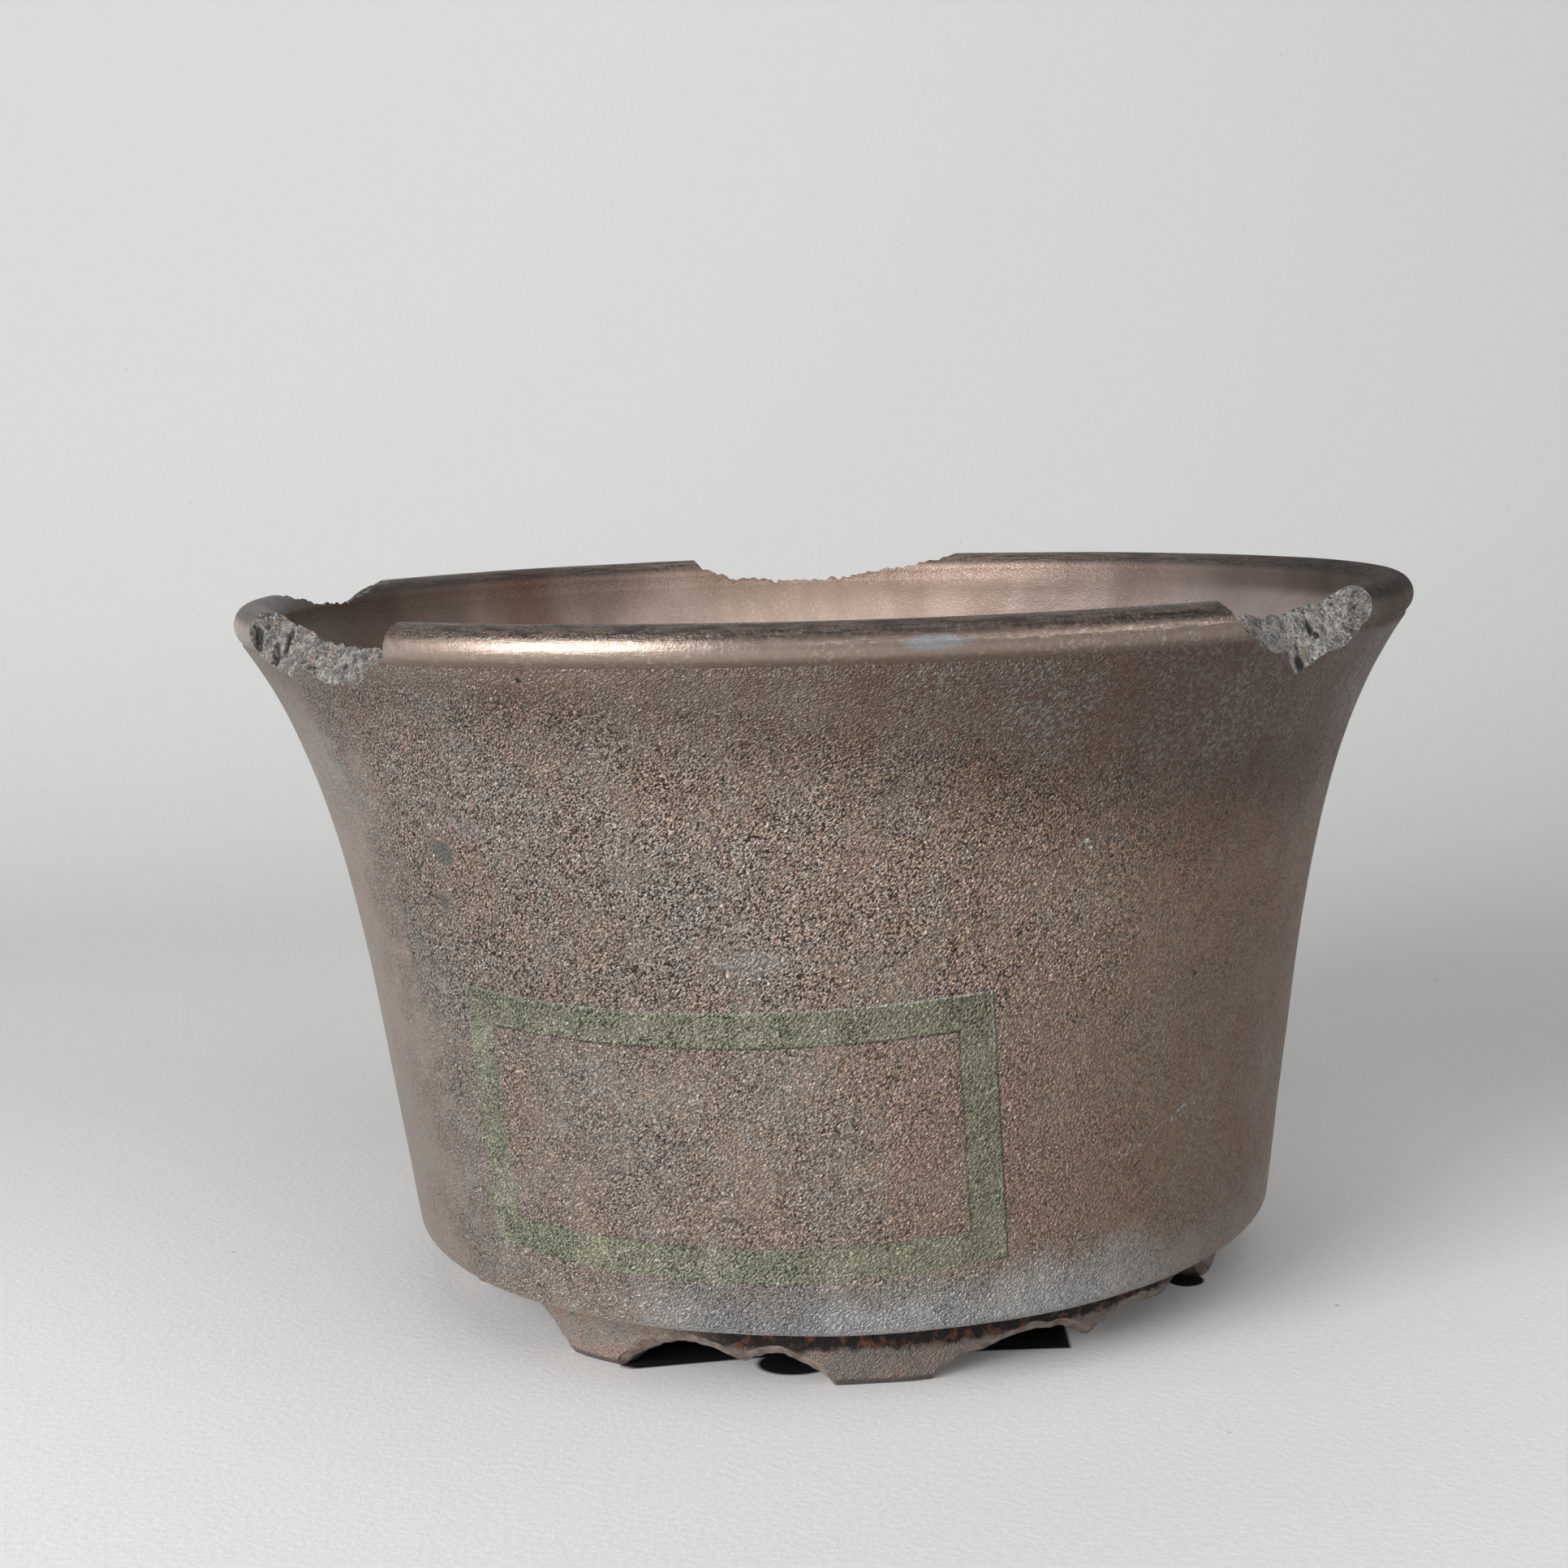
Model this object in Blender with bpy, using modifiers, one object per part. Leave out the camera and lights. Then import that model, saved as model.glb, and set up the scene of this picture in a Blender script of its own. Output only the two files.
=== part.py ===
"""A small round bonsai pot with a rolled lip, a chipped rim and a torn foot ring.

Units are metres, with +Z up. The origin is on the pot's axis, on the surface it stands on.
The front of the pot faces -Y. An azimuth is in degrees, 0 at +X and -90 at the front.
"""

import math

import bmesh
import bpy
from mathutils import Matrix, Vector

MM = 0.001
GAP = 0.3 * MM  # clearance between pieces that touch

# Wall: a straight taper with a flare that grows with height.
RIM_RADIUS = 75.0 * MM
CREST_HEIGHT = 89.8 * MM
WALL_BOTTOM_RADIUS = 56.4 * MM
WALL_BOTTOM_HEIGHT = 8.8 * MM
WALL_TAPER = 0.125
FLARE = 10.4 * MM
FLARE_HEIGHT = 80.0 * MM
FLARE_POWER = 5
WALL_TOP_THICKNESS = 4.7 * MM
WALL_BOTTOM_THICKNESS = 6.0 * MM
RIM_LEAN = 0.7 * MM  # the crest stands this much higher at -X and lower at +X

# Lip: a round bead on top of the wall.
LIP_RADIUS = 2.6 * MM
LIP_START = -50.0  # degrees round the bead where it meets the outer wall
LIP_CENTRE = Vector((RIM_RADIUS - LIP_RADIUS, 0.0, CREST_HEIGHT - LIP_RADIUS))

# Floor
UNDERSIDE_HEIGHT = 8.3 * MM
FLOOR_THICKNESS = 6.2 * MM
FLOOR_HEIGHT = UNDERSIDE_HEIGHT + FLOOR_THICKNESS
FLOOR_FILLET = 9.0 * MM
BOTTOM_ROUND = 1.6 * MM
DRAIN_RADIUS = 11.0 * MM
DRAIN_CHAMFER = 1.0 * MM
WIRE_HOLE_RADIUS = 2.2 * MM
WIRE_HOLE_X = 27.0 * MM
WIRE_HOLE_Y = 12.0 * MM

# Foot ring
RING_BASE_RADIUS = 49.5 * MM
RING_TOP_RADIUS = 50.6 * MM
RING_INNER_RADIUS = 45.6 * MM
RING_TOP = UNDERSIDE_HEIGHT - GAP
RING_CHAMFER = 0.6 * MM

# Drain screen and the clip that holds it
SCREEN_CELLS = 10
SCREEN_PITCH = 3.4 * MM
SCREEN_HOLE = 2.4 * MM
SCREEN_THICKNESS = 1.0 * MM
SCREEN_BOTTOM = FLOOR_HEIGHT + GAP
SCREEN_TOP = SCREEN_BOTTOM + SCREEN_THICKNESS
CLIP_WIRE_RADIUS = 0.6 * MM
CLIP_BEND = 1.6 * MM
CLIP_REACH = 17.0 * MM  # how far each leg lies out under the floor

POT_STEPS = 96
RING_STEPS = 116
WALL_POINTS = 10
BEAD_POINTS = 10

# Each chip in the rim: azimuth, height of the break at the outer face, and at the inner face, in mm.
RIM_CHIPS = {
    "chip_front_left": [
        (-152.3, 86.6, 88.9),
        (-150.5, 84.1, 88.7),
        (-147.0, 82.9, 88.4),
        (-144.5, 84.5, 87.6),
        (-141.5, 83.8, 87.0),
        (-139.0, 82.6, 87.0),
        (-134.5, 83.1, 87.0),
        (-132.5, 84.6, 87.1),
        (-128.3, 86.6, 87.1),
    ],
    "chip_front_right": [
        (-54.2, 86.2, 87.1),
        (-52.0, 85.0, 87.0),
        (-49.5, 83.5, 87.0),
        (-46.7, 83.2, 86.6),
        (-44.0, 80.8, 86.8),
        (-41.5, 81.4, 87.2),
        (-39.2, 82.5, 87.5),
        (-36.5, 82.7, 87.9),
        (-34.2, 86.0, 88.6),
    ],
    "chip_back": [
        (72.5, 89.2, 89.5),
        (76.5, 86.8, 88.3),
        (81.0, 85.2, 87.3),
        (86.0, 84.3, 86.6),
        (91.0, 84.0, 86.1),
        (97.0, 84.2, 86.6),
        (102.0, 84.9, 87.2),
        (105.6, 87.0, 89.0),
        (106.6, 88.2, 89.7),
    ],
    "chip_back_left": [
        (151.5, 89.8, 90.3),
        (155.5, 88.2, 89.9),
        (157.5, 86.6, 89.0),
        (161.0, 85.4, 88.1),
        (165.0, 85.2, 88.2),
        (169.0, 86.0, 88.6),
        (173.0, 87.7, 89.5),
        (177.0, 89.8, 90.3),
    ],
}

# Each torn stretch of the foot ring, between two feet that reach the ground: azimuth, height in mm.
RING_TEARS = {
    "tear_front_left": [
        (-122.8, -0.3),
        (-120.3, 1.9),
        (-116.1, 3.9),
        (-111.0, 4.6),
        (-107.5, 3.7),
        (-104.0, 2.7),
        (-101.0, 3.7),
        (-98.6, 3.9),
        (-95.0, 2.1),
        (-93.4, 1.5),
        (-92.0, -0.3),
    ],
    "tear_front_right": [
        (-78.4, -0.3),
        (-75.6, 1.7),
        (-74.2, 2.6),
        (-70.4, 3.1),
        (-66.0, 4.1),
        (-60.0, 3.8),
        (-57.0, 2.7),
        (-54.5, 1.4),
        (-52.7, 2.3),
        (-48.8, 3.5),
        (-45.0, 3.6),
        (-38.5, 2.5),
        (-35.6, 3.8),
        (-31.0, 3.9),
        (-26.6, 2.9),
        (-21.5, -0.3),
    ],
    "tear_right": [
        (-8.0, -0.3),
        (-4.0, 2.6),
        (3.0, 4.3),
        (12.0, 3.4),
        (20.0, 4.5),
        (26.0, 2.2),
        (30.0, -0.3),
    ],
    "tear_back_right": [
        (44.0, -0.3),
        (48.0, 3.1),
        (57.0, 4.6),
        (66.0, 3.0),
        (74.0, 4.4),
        (83.0, 2.9),
        (88.0, -0.3),
    ],
    "tear_back_left": [
        (101.0, -0.3),
        (105.0, 2.4),
        (113.0, 4.5),
        (121.0, 3.4),
        (130.0, 4.6),
        (136.0, 2.6),
        (140.0, -0.3),
    ],
    "tear_left": [
        (153.0, -0.3),
        (157.0, 3.2),
        (165.0, 4.6),
        (172.0, 3.3),
        (178.0, 2.6),
        (182.0, -0.3),
    ],
    "tear_side_left": [
        (194.0, -0.3),
        (198.0, 2.8),
        (206.0, 4.4),
        (214.0, 5.4),
        (221.5, 4.6),
        (224.9, 2.7),
        (226.2, 1.2),
        (227.8, -0.3),
    ],
}


def collection(name):
    """A new collection in the scene."""
    made = bpy.data.collections.new(name)
    bpy.context.scene.collection.children.link(made)
    return made


def material(name, colour, roughness, metallic=0.0):
    """A Principled material of one colour."""
    made = bpy.data.materials.new(name)
    made.use_nodes = True
    shader = made.node_tree.nodes["Principled BSDF"]
    shader.inputs["Base Color"].default_value = (*colour, 1.0)
    shader.inputs["Roughness"].default_value = roughness
    shader.inputs["Metallic"].default_value = metallic
    return made


def wall_radius(z):
    """The outer wall's radius at height z."""
    rise = z - WALL_BOTTOM_HEIGHT
    return WALL_BOTTOM_RADIUS + WALL_TAPER * rise + FLARE * (rise / FLARE_HEIGHT) ** FLARE_POWER


def inner_radius(z):
    """The inner wall's radius at height z, below the lip."""
    share = (z - FLOOR_HEIGHT) / (LIP_CENTRE.z - FLOOR_HEIGHT)
    thickness = WALL_BOTTOM_THICKNESS + share * (WALL_TOP_THICKNESS - WALL_BOTTOM_THICKNESS)
    return min(wall_radius(z) - thickness, LIP_CENTRE.x - LIP_RADIUS)


def outer_face_radius(z):
    """The outer face's radius at height z, on the wall or on the bead of the lip."""
    lift = z - LIP_CENTRE.z
    if lift < LIP_RADIUS * math.sin(math.radians(LIP_START)):
        return wall_radius(z)
    return LIP_CENTRE.x + math.sqrt(max(LIP_RADIUS**2 - lift**2, 0.0))


def arc(centre_x, centre_z, radius, start, end, count):
    """Points from the start angle to the end angle, in degrees, in the XZ plane."""
    points = []
    for i in range(count + 1):
        angle = math.radians(start + (end - start) * i / count)
        points.append((centre_x + radius * math.cos(angle), centre_z + radius * math.sin(angle)))
    return points


def pot_profile():
    """The closed outline of the wall and floor: down the outside, under, up the drain, and back up inside."""
    lip_outside = arc(LIP_CENTRE.x, LIP_CENTRE.z, LIP_RADIUS, 90.0, 0.0, BEAD_POINTS // 2)
    lip_under = arc(LIP_CENTRE.x, LIP_CENTRE.z, LIP_RADIUS, 0.0, LIP_START, 2)[1:]
    wall_top = LIP_CENTRE.z + LIP_RADIUS * math.sin(math.radians(LIP_START)) - 0.3 * MM
    wall_low = UNDERSIDE_HEIGHT + BOTTOM_ROUND
    wall = []
    for i in range(WALL_POINTS + 1):
        share = (1.0 - i / WALL_POINTS) ** 0.6  # closer together where the wall flares
        z = wall_low + share * (wall_top - wall_low)
        wall.append((wall_radius(z), z))
    edge = arc(wall_radius(wall_low) - BOTTOM_ROUND, wall_low, BOTTOM_ROUND, 0.0, -90.0, 3)[1:]
    drain = [
        (DRAIN_RADIUS + DRAIN_CHAMFER, UNDERSIDE_HEIGHT),
        (DRAIN_RADIUS, UNDERSIDE_HEIGHT + DRAIN_CHAMFER),
        (DRAIN_RADIUS, FLOOR_HEIGHT - DRAIN_CHAMFER),
        (DRAIN_RADIUS + DRAIN_CHAMFER, FLOOR_HEIGHT),
    ]
    fillet_top = FLOOR_HEIGHT + FLOOR_FILLET
    fillet = arc(inner_radius(fillet_top) - FLOOR_FILLET, fillet_top, FLOOR_FILLET, -90.0, 0.0, 4)
    inside = []
    for i in range(1, 7):
        z = fillet_top + (LIP_CENTRE.z - 1.5 * MM - fillet_top) * (i / 6) ** 0.8
        inside.append((inner_radius(z), z))
    lip_inside = arc(LIP_CENTRE.x, LIP_CENTRE.z, LIP_RADIUS, 180.0, 90.0, BEAD_POINTS // 2)[:-1]
    return lip_outside + lip_under + wall + edge + drain + fillet + inside + lip_inside


def ring_profile():
    """The closed outline of the whole foot ring, before its edge is torn."""
    return [
        (RING_TOP_RADIUS, RING_TOP),
        (RING_BASE_RADIUS + RING_CHAMFER, 1.5 * RING_CHAMFER),
        (RING_BASE_RADIUS, 0.0),
        (RING_INNER_RADIUS + RING_CHAMFER, 0.0),
        (RING_INNER_RADIUS, RING_CHAMFER),
        (RING_INNER_RADIUS - 0.5 * RING_CHAMFER, RING_TOP),
    ]


def turned(name, profile, steps, look, parts):
    """A closed profile of (radius, height) points, turned about the Z axis."""
    mesh = bpy.data.meshes.new(name)
    points = [(x, 0.0, z) for x, z in profile]
    edges = [(i, (i + 1) % len(points)) for i in range(len(points))]
    mesh.from_pydata(points, edges, [])
    made = bpy.data.objects.new(name, mesh)
    parts.objects.link(made)
    screw = made.modifiers.new("turn", "SCREW")
    screw.axis = "Z"
    screw.angle = math.tau
    screw.steps = steps
    screw.render_steps = steps
    screw.use_merge_vertices = True
    screw.merge_threshold = 0.00001
    made.data.materials.append(look)
    return made


def apply_modifiers(target):
    """Replaces the object's mesh with its evaluated one."""
    depsgraph = bpy.context.evaluated_depsgraph_get()
    mesh = bpy.data.meshes.new_from_object(target.evaluated_get(depsgraph))
    target.modifiers.clear()
    target.data = mesh


def lean_rim(target):
    """Lifts one side of the rim and lowers the other, fading out towards the foot."""
    for vertex in target.data.vertices:
        share = max(vertex.co.z - UNDERSIDE_HEIGHT, 0.0) / (CREST_HEIGHT - UNDERSIDE_HEIGHT)
        vertex.co.z -= RIM_LEAN * share**3 * vertex.co.x / LIP_CENTRE.x


def loft_cutter(name, sections, cutters):
    """A closed cutter through a row of four-cornered sections."""
    shape = bmesh.new()
    rows = [[shape.verts.new(corner) for corner in section] for section in sections]
    for row, following in zip(rows, rows[1:]):
        for i in range(4):
            j = (i + 1) % 4
            shape.faces.new((row[i], row[j], following[j], following[i]))
    shape.faces.new(rows[0])
    shape.faces.new(rows[-1])
    bmesh.ops.recalc_face_normals(shape, faces=shape.faces)
    mesh = bpy.data.meshes.new(name)
    shape.to_mesh(mesh)
    shape.free()
    made = bpy.data.objects.new(name, mesh)
    cutters.objects.link(made)
    return as_cutter(made)


def as_cutter(target):
    """Keeps a cutting shape out of renders and shows it as wire."""
    target.hide_render = True
    target.display_type = "WIRE"
    return target


def cut(target, cutter):
    """Takes the cutter's shape out of the target."""
    boolean = target.modifiers.new(cutter.name, "BOOLEAN")
    boolean.operation = "DIFFERENCE"
    boolean.solver = "EXACT"
    boolean.object = cutter


def around(azimuth, radius, z):
    """The point at that azimuth in degrees, radius and height."""
    angle = math.radians(azimuth)
    return Vector((radius * math.cos(angle), radius * math.sin(angle), z))


def rim_chip(name, stations, cutters):
    """A bite out of the rim, whose broken face slopes from the inner face to the outer one."""
    far_in, far_out, far_up = 69.0 * MM, 76.0 * MM, 100.0 * MM
    sections = []
    for azimuth, outer_mm, inner_mm in stations:
        outer, inner = outer_mm * MM, inner_mm * MM
        outer_at = outer_face_radius(min(outer, CREST_HEIGHT))
        inner_at = LIP_CENTRE.x - LIP_RADIUS
        slope = (outer - inner) / (outer_at - inner_at)
        sections.append(
            [
                around(azimuth, far_in, inner + slope * (far_in - inner_at)),
                around(azimuth, far_out, outer + slope * (far_out - outer_at)),
                around(azimuth, far_out, far_up),
                around(azimuth, far_in, far_up),
            ]
        )
    return loft_cutter(name, sections, cutters)


def ring_tear(name, stations, cutters):
    """A low, ragged arch through the foot ring."""
    far_in, far_out, far_down = 40.0 * MM, 56.0 * MM, -5.0 * MM
    sections = []
    for azimuth, height_mm in stations:
        sections.append(
            [
                around(azimuth, far_in, far_down),
                around(azimuth, far_out, far_down),
                around(azimuth, far_out, height_mm * MM),
                around(azimuth, far_in, height_mm * MM),
            ]
        )
    return loft_cutter(name, sections, cutters)


def wire_hole(name, x, y, cutters):
    """A small round hole through the floor, for a tie-down wire."""
    bpy.ops.mesh.primitive_cylinder_add(
        vertices=20,
        radius=WIRE_HOLE_RADIUS,
        depth=3.0 * FLOOR_THICKNESS,
        location=(x, y, UNDERSIDE_HEIGHT + 0.5 * FLOOR_THICKNESS),
    )
    made = bpy.context.object
    made.name = name
    move_to(made, cutters)
    return as_cutter(made)


def move_to(target, group):
    """Takes the object out of its collections and puts it in one."""
    for old in list(target.users_collection):
        old.objects.unlink(target)
    group.objects.link(target)


def smooth(target, sharp_degrees=35.0):
    """Smooth shading, with the edges above that angle kept sharp."""
    target.data.shade_smooth()
    target.data.set_sharp_from_angle(angle=math.radians(sharp_degrees))


def make_pot_body(parts, cutters):
    """The thrown wall and floor, in one piece, with its drain, wire holes and chipped rim."""
    glaze = material("glazed_stoneware", (0.14, 0.105, 0.085), 0.42, 0.35)
    body = turned("pot_body", pot_profile(), POT_STEPS, glaze, parts)
    apply_modifiers(body)
    lean_rim(body)
    smooth(body)
    for side_x in (-1, 1):
        for side_y in (-1, 1):
            name = f"wire_hole_{side_x}_{side_y}".replace("-1", "low").replace("1", "high")
            cut(body, wire_hole(name, side_x * WIRE_HOLE_X, side_y * WIRE_HOLE_Y, cutters))
    for name, stations in RIM_CHIPS.items():
        cut(body, rim_chip(name, stations, cutters))
    return body


def make_foot_ring(parts, cutters):
    """The ring that the pot stands on, torn between its feet."""
    clay = material("foot_stoneware", (0.15, 0.11, 0.095), 0.6, 0.15)
    ring = turned("foot_ring", ring_profile(), RING_STEPS, clay, parts)
    apply_modifiers(ring)
    smooth(ring)
    for name, stations in RING_TEARS.items():
        cut(ring, ring_tear(name, stations, cutters))
    return ring


def make_drain_screen(parts, cutters):
    """A square of plastic mesh over the drain, on the inner floor."""
    plastic = material("screen_plastic", (0.02, 0.022, 0.02), 0.55)
    width = SCREEN_CELLS * SCREEN_PITCH + (SCREEN_PITCH - SCREEN_HOLE)
    bpy.ops.mesh.primitive_cube_add(size=1.0)
    screen = bpy.context.object
    screen.name = "drain_screen"
    move_to(screen, parts)
    screen.data.transform(Matrix.Diagonal((width, width, SCREEN_THICKNESS, 1.0)))
    screen.location.z = SCREEN_BOTTOM + 0.5 * SCREEN_THICKNESS
    screen.data.materials.append(plastic)

    first = -0.5 * (SCREEN_CELLS - 1) * SCREEN_PITCH
    bpy.ops.mesh.primitive_cube_add(size=1.0, location=(first, first, screen.location.z))
    holes = bpy.context.object
    holes.name = "screen_holes"
    move_to(holes, cutters)
    holes.data.transform(Matrix.Diagonal((SCREEN_HOLE, SCREEN_HOLE, 3.0 * SCREEN_THICKNESS, 1.0)))
    for name, offset in (("along_x", (SCREEN_PITCH, 0, 0)), ("along_y", (0, SCREEN_PITCH, 0))):
        array = holes.modifiers.new(name, "ARRAY")
        array.count = SCREEN_CELLS
        array.use_relative_offset = False
        array.use_constant_offset = True
        array.constant_offset_displace = offset
    cut(screen, as_cutter(holes))
    return screen


def rounded_route(corners, radius, count=5):
    """The corners of a wire's route, each bend between them rounded to that radius."""
    route = [corners[0]]
    for before, corner, after in zip(corners, corners[1:], corners[2:]):
        back = (before - corner).normalized()
        ahead = (after - corner).normalized()
        half_turn = 0.5 * back.angle(ahead)
        centre = corner + (back + ahead).normalized() * (radius / math.sin(half_turn))
        start = corner + back * (radius / math.tan(half_turn)) - centre
        turn_axis = ahead.cross(back)
        for i in range(count + 1):
            turn = Matrix.Rotation((math.pi - 2.0 * half_turn) * i / count, 3, turn_axis)
            route.append(centre + turn @ start)
    route.append(corners[-1])
    return route


def make_screen_clip(parts):
    """A bent wire staple: across the screen, down through the drain, and out under the floor."""
    aluminium = material("aluminium_wire", (0.62, 0.6, 0.57), 0.35, 1.0)
    hole_x = 2.5 * SCREEN_PITCH
    hole_y = 0.5 * SCREEN_PITCH
    over = SCREEN_TOP + GAP + CLIP_WIRE_RADIUS
    under = UNDERSIDE_HEIGHT - GAP - CLIP_WIRE_RADIUS
    corners = [
        Vector((-CLIP_REACH, hole_y, under)),
        Vector((-hole_x, hole_y, under)),
        Vector((-hole_x, hole_y, over)),
        Vector((hole_x, hole_y, over)),
        Vector((hole_x, hole_y, under)),
        Vector((CLIP_REACH, hole_y, under)),
    ]
    route = rounded_route(corners, CLIP_BEND)
    curve = bpy.data.curves.new("screen_clip", "CURVE")
    curve.dimensions = "3D"
    curve.bevel_depth = CLIP_WIRE_RADIUS
    curve.bevel_resolution = 2
    curve.use_fill_caps = True
    spline = curve.splines.new("POLY")
    spline.points.add(len(route) - 1)
    for point, place in zip(spline.points, route):
        point.co = (*place, 1.0)
    clip = bpy.data.objects.new("screen_clip", curve)
    clip.data.materials.append(aluminium)
    parts.objects.link(clip)
    return clip


def main():
    for old in list(bpy.data.objects):
        bpy.data.objects.remove(old)
    parts = collection("bonsai_pot")
    cutters = collection("cutters")
    make_pot_body(parts, cutters)
    make_foot_ring(parts, cutters)
    make_drain_screen(parts, cutters)
    make_screen_clip(parts)


main()
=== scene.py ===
"""The looks of a small stoneware bonsai pot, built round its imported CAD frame.

Shapes are worked out in millimetres and turned into metres when a mesh is made. +Z is up,
and the front of the pot faces -Y. An azimuth is in degrees, 0 at +X and -90 at the front.
"""

import math

import bmesh
import bpy
import numpy as np
from mathutils import Matrix, Vector, noise


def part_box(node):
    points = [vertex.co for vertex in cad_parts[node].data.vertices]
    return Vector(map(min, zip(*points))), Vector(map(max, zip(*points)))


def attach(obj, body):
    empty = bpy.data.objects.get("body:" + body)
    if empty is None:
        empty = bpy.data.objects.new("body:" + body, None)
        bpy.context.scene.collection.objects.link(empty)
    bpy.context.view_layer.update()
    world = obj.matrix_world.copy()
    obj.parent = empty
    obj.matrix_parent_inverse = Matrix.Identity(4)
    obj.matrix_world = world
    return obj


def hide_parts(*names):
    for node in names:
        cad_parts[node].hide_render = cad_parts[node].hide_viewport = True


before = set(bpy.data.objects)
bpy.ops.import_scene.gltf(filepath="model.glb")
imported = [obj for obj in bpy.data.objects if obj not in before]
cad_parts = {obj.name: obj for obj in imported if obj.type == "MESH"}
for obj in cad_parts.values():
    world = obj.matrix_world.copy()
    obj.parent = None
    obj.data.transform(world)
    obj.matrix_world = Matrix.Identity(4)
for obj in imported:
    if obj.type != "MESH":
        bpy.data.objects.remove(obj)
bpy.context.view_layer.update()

MM = 0.001

# Wall and lip
LIP_RADIUS = 2.55
LIP_START = -50.0
LIP_CENTRE_R = 72.35
LIP_CENTRE_Z = 87.2
WALL_FOOT_RADIUS = 56.35
WALL_FOOT_Z = 8.8
WALL_TAPER = 0.125
FLARE = 10.4
FLARE_HEIGHT = 80.0
FLARE_POWER = 5
RIM_LEAN = 0.7
THROWING_PITCH = 5.2
FLOOR_LINE_PITCH = 5.5

# Floor and drain
UNDERSIDE_Z = 8.3
FLOOR_Z = 14.5
FLOOR_FILLET = 9.0
BOTTOM_ROUND = 1.6
DRAIN_RADIUS = 11.0
DRAIN_ROUND = 1.2
WIRE_HOLE_RADIUS = 2.2
WIRE_HOLE_PLACES = [(27.0, 12.0), (27.0, -12.0), (-27.0, 12.0), (-27.0, -12.0)]

# Foot ring
RING_BASE_RADIUS = 49.5
RING_TOP_RADIUS = 50.6
RING_INNER_RADIUS = 45.6
RING_TOP_Z = 8.0

# Drain screen and its clip
SCREEN_CELLS = 10
SCREEN_PITCH = 3.4
SCREEN_HOLE = 2.4
CLIP_WIRE_RADIUS = 0.6
CLIP_BEND = 1.6
CLIP_LEG_X = 8.5

# How finely the turned shapes and the broken faces are divided
BODY_COLUMNS = 360
RING_COLUMNS = 420
CHIP_STEP = 0.27
TEAR_STEP = 0.3

# The blocks taken out of the rim and the foot ring, from inside the wall to outside it
CHIP_RADII = (67.6, 77.0)
CHIP_TOP_Z = 96.0
TEAR_RADII = (43.0, 48.6, 52.4)
TEAR_BOTTOM_Z = -4.0

# The material slot of a broken or torn face; the glaze's is 0.
BROKEN_SLOT = 1

# Each chip in the rim has two edges, as (azimuth, height): the break at the outer face, and at the inner one.
RIM_CHIPS = {
    "chip_front_left": {
        "outer": [
            (-153.6, 92.0), (-153.2, 86.6), (-152.4, 85.1), (-150.8, 84.2), (-149.0, 83.4),
            (-147.0, 82.9), (-144.3, 84.6), (-143.1, 84.4), (-141.5, 83.8), (-140.2, 82.8),
            (-138.5, 82.6), (-135.8, 83.1), (-134.5, 83.1), (-133.1, 83.7), (-132.6, 84.6),
            (-131.0, 85.4), (-128.6, 86.4), (-128.2, 92.0),
        ],
        "inner": [
            (-153.6, 92.0), (-152.6, 89.8), (-150.6, 89.2), (-147.6, 88.7), (-145.5, 87.7),
            (-143.2, 87.3), (-140.8, 87.0), (-137.6, 87.0), (-134.0, 87.1), (-128.8, 87.3),
            (-128.2, 92.0),
        ],
    },
    "chip_front_right": {
        "outer": [
            (-55.7, 92.0), (-55.4, 89.4), (-54.7, 87.4), (-53.1, 85.9), (-52.1, 85.1), (-50.5, 84.0),
            (-48.6, 83.2), (-46.7, 83.2), (-45.7, 82.2), (-44.3, 81.0), (-43.5, 80.6), (-42.6, 81.2),
            (-41.4, 81.4), (-40.6, 82.2), (-39.2, 82.5), (-36.6, 82.7), (-35.8, 83.7), (-34.7, 85.5),
            (-34.2, 87.0), (-33.4, 92.0),
        ],
        "inner": [
            (-55.7, 92.0), (-54.2, 87.6), (-51.5, 87.2), (-48.9, 87.1), (-46.2, 86.6), (-43.7, 86.9),
            (-41.0, 87.3), (-37.8, 87.7), (-34.5, 88.5), (-32.2, 89.0), (-31.4, 92.0),
        ],
    },
    "chip_back": {
        "outer": [
            (71.8, 92.0), (72.5, 89.0), (76.5, 86.6), (81.0, 85.0), (86.0, 84.0), (91.0, 83.7),
            (97.0, 84.0), (102.0, 84.7), (105.6, 86.9), (106.9, 92.0),
        ],
        "inner": [
            (71.6, 92.0), (72.6, 89.5), (76.5, 88.3), (81.0, 87.3), (86.0, 86.6), (91.0, 86.1),
            (97.0, 86.6), (102.0, 87.2), (105.6, 89.0), (107.2, 92.0),
        ],
    },
    "chip_back_left": {
        "outer": [
            (150.8, 92.0), (151.8, 89.8), (155.5, 88.2), (157.5, 86.6), (161.0, 85.4), (165.0, 85.2),
            (169.0, 86.0), (173.0, 87.7), (177.0, 89.8), (178.6, 92.0),
        ],
        "inner": [
            (150.6, 92.0), (152.0, 90.2), (155.5, 89.9), (157.5, 89.0), (161.0, 88.1), (165.0, 88.2),
            (169.0, 88.6), (173.0, 89.5), (177.0, 90.3), (178.8, 92.0),
        ],
    },
}

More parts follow.
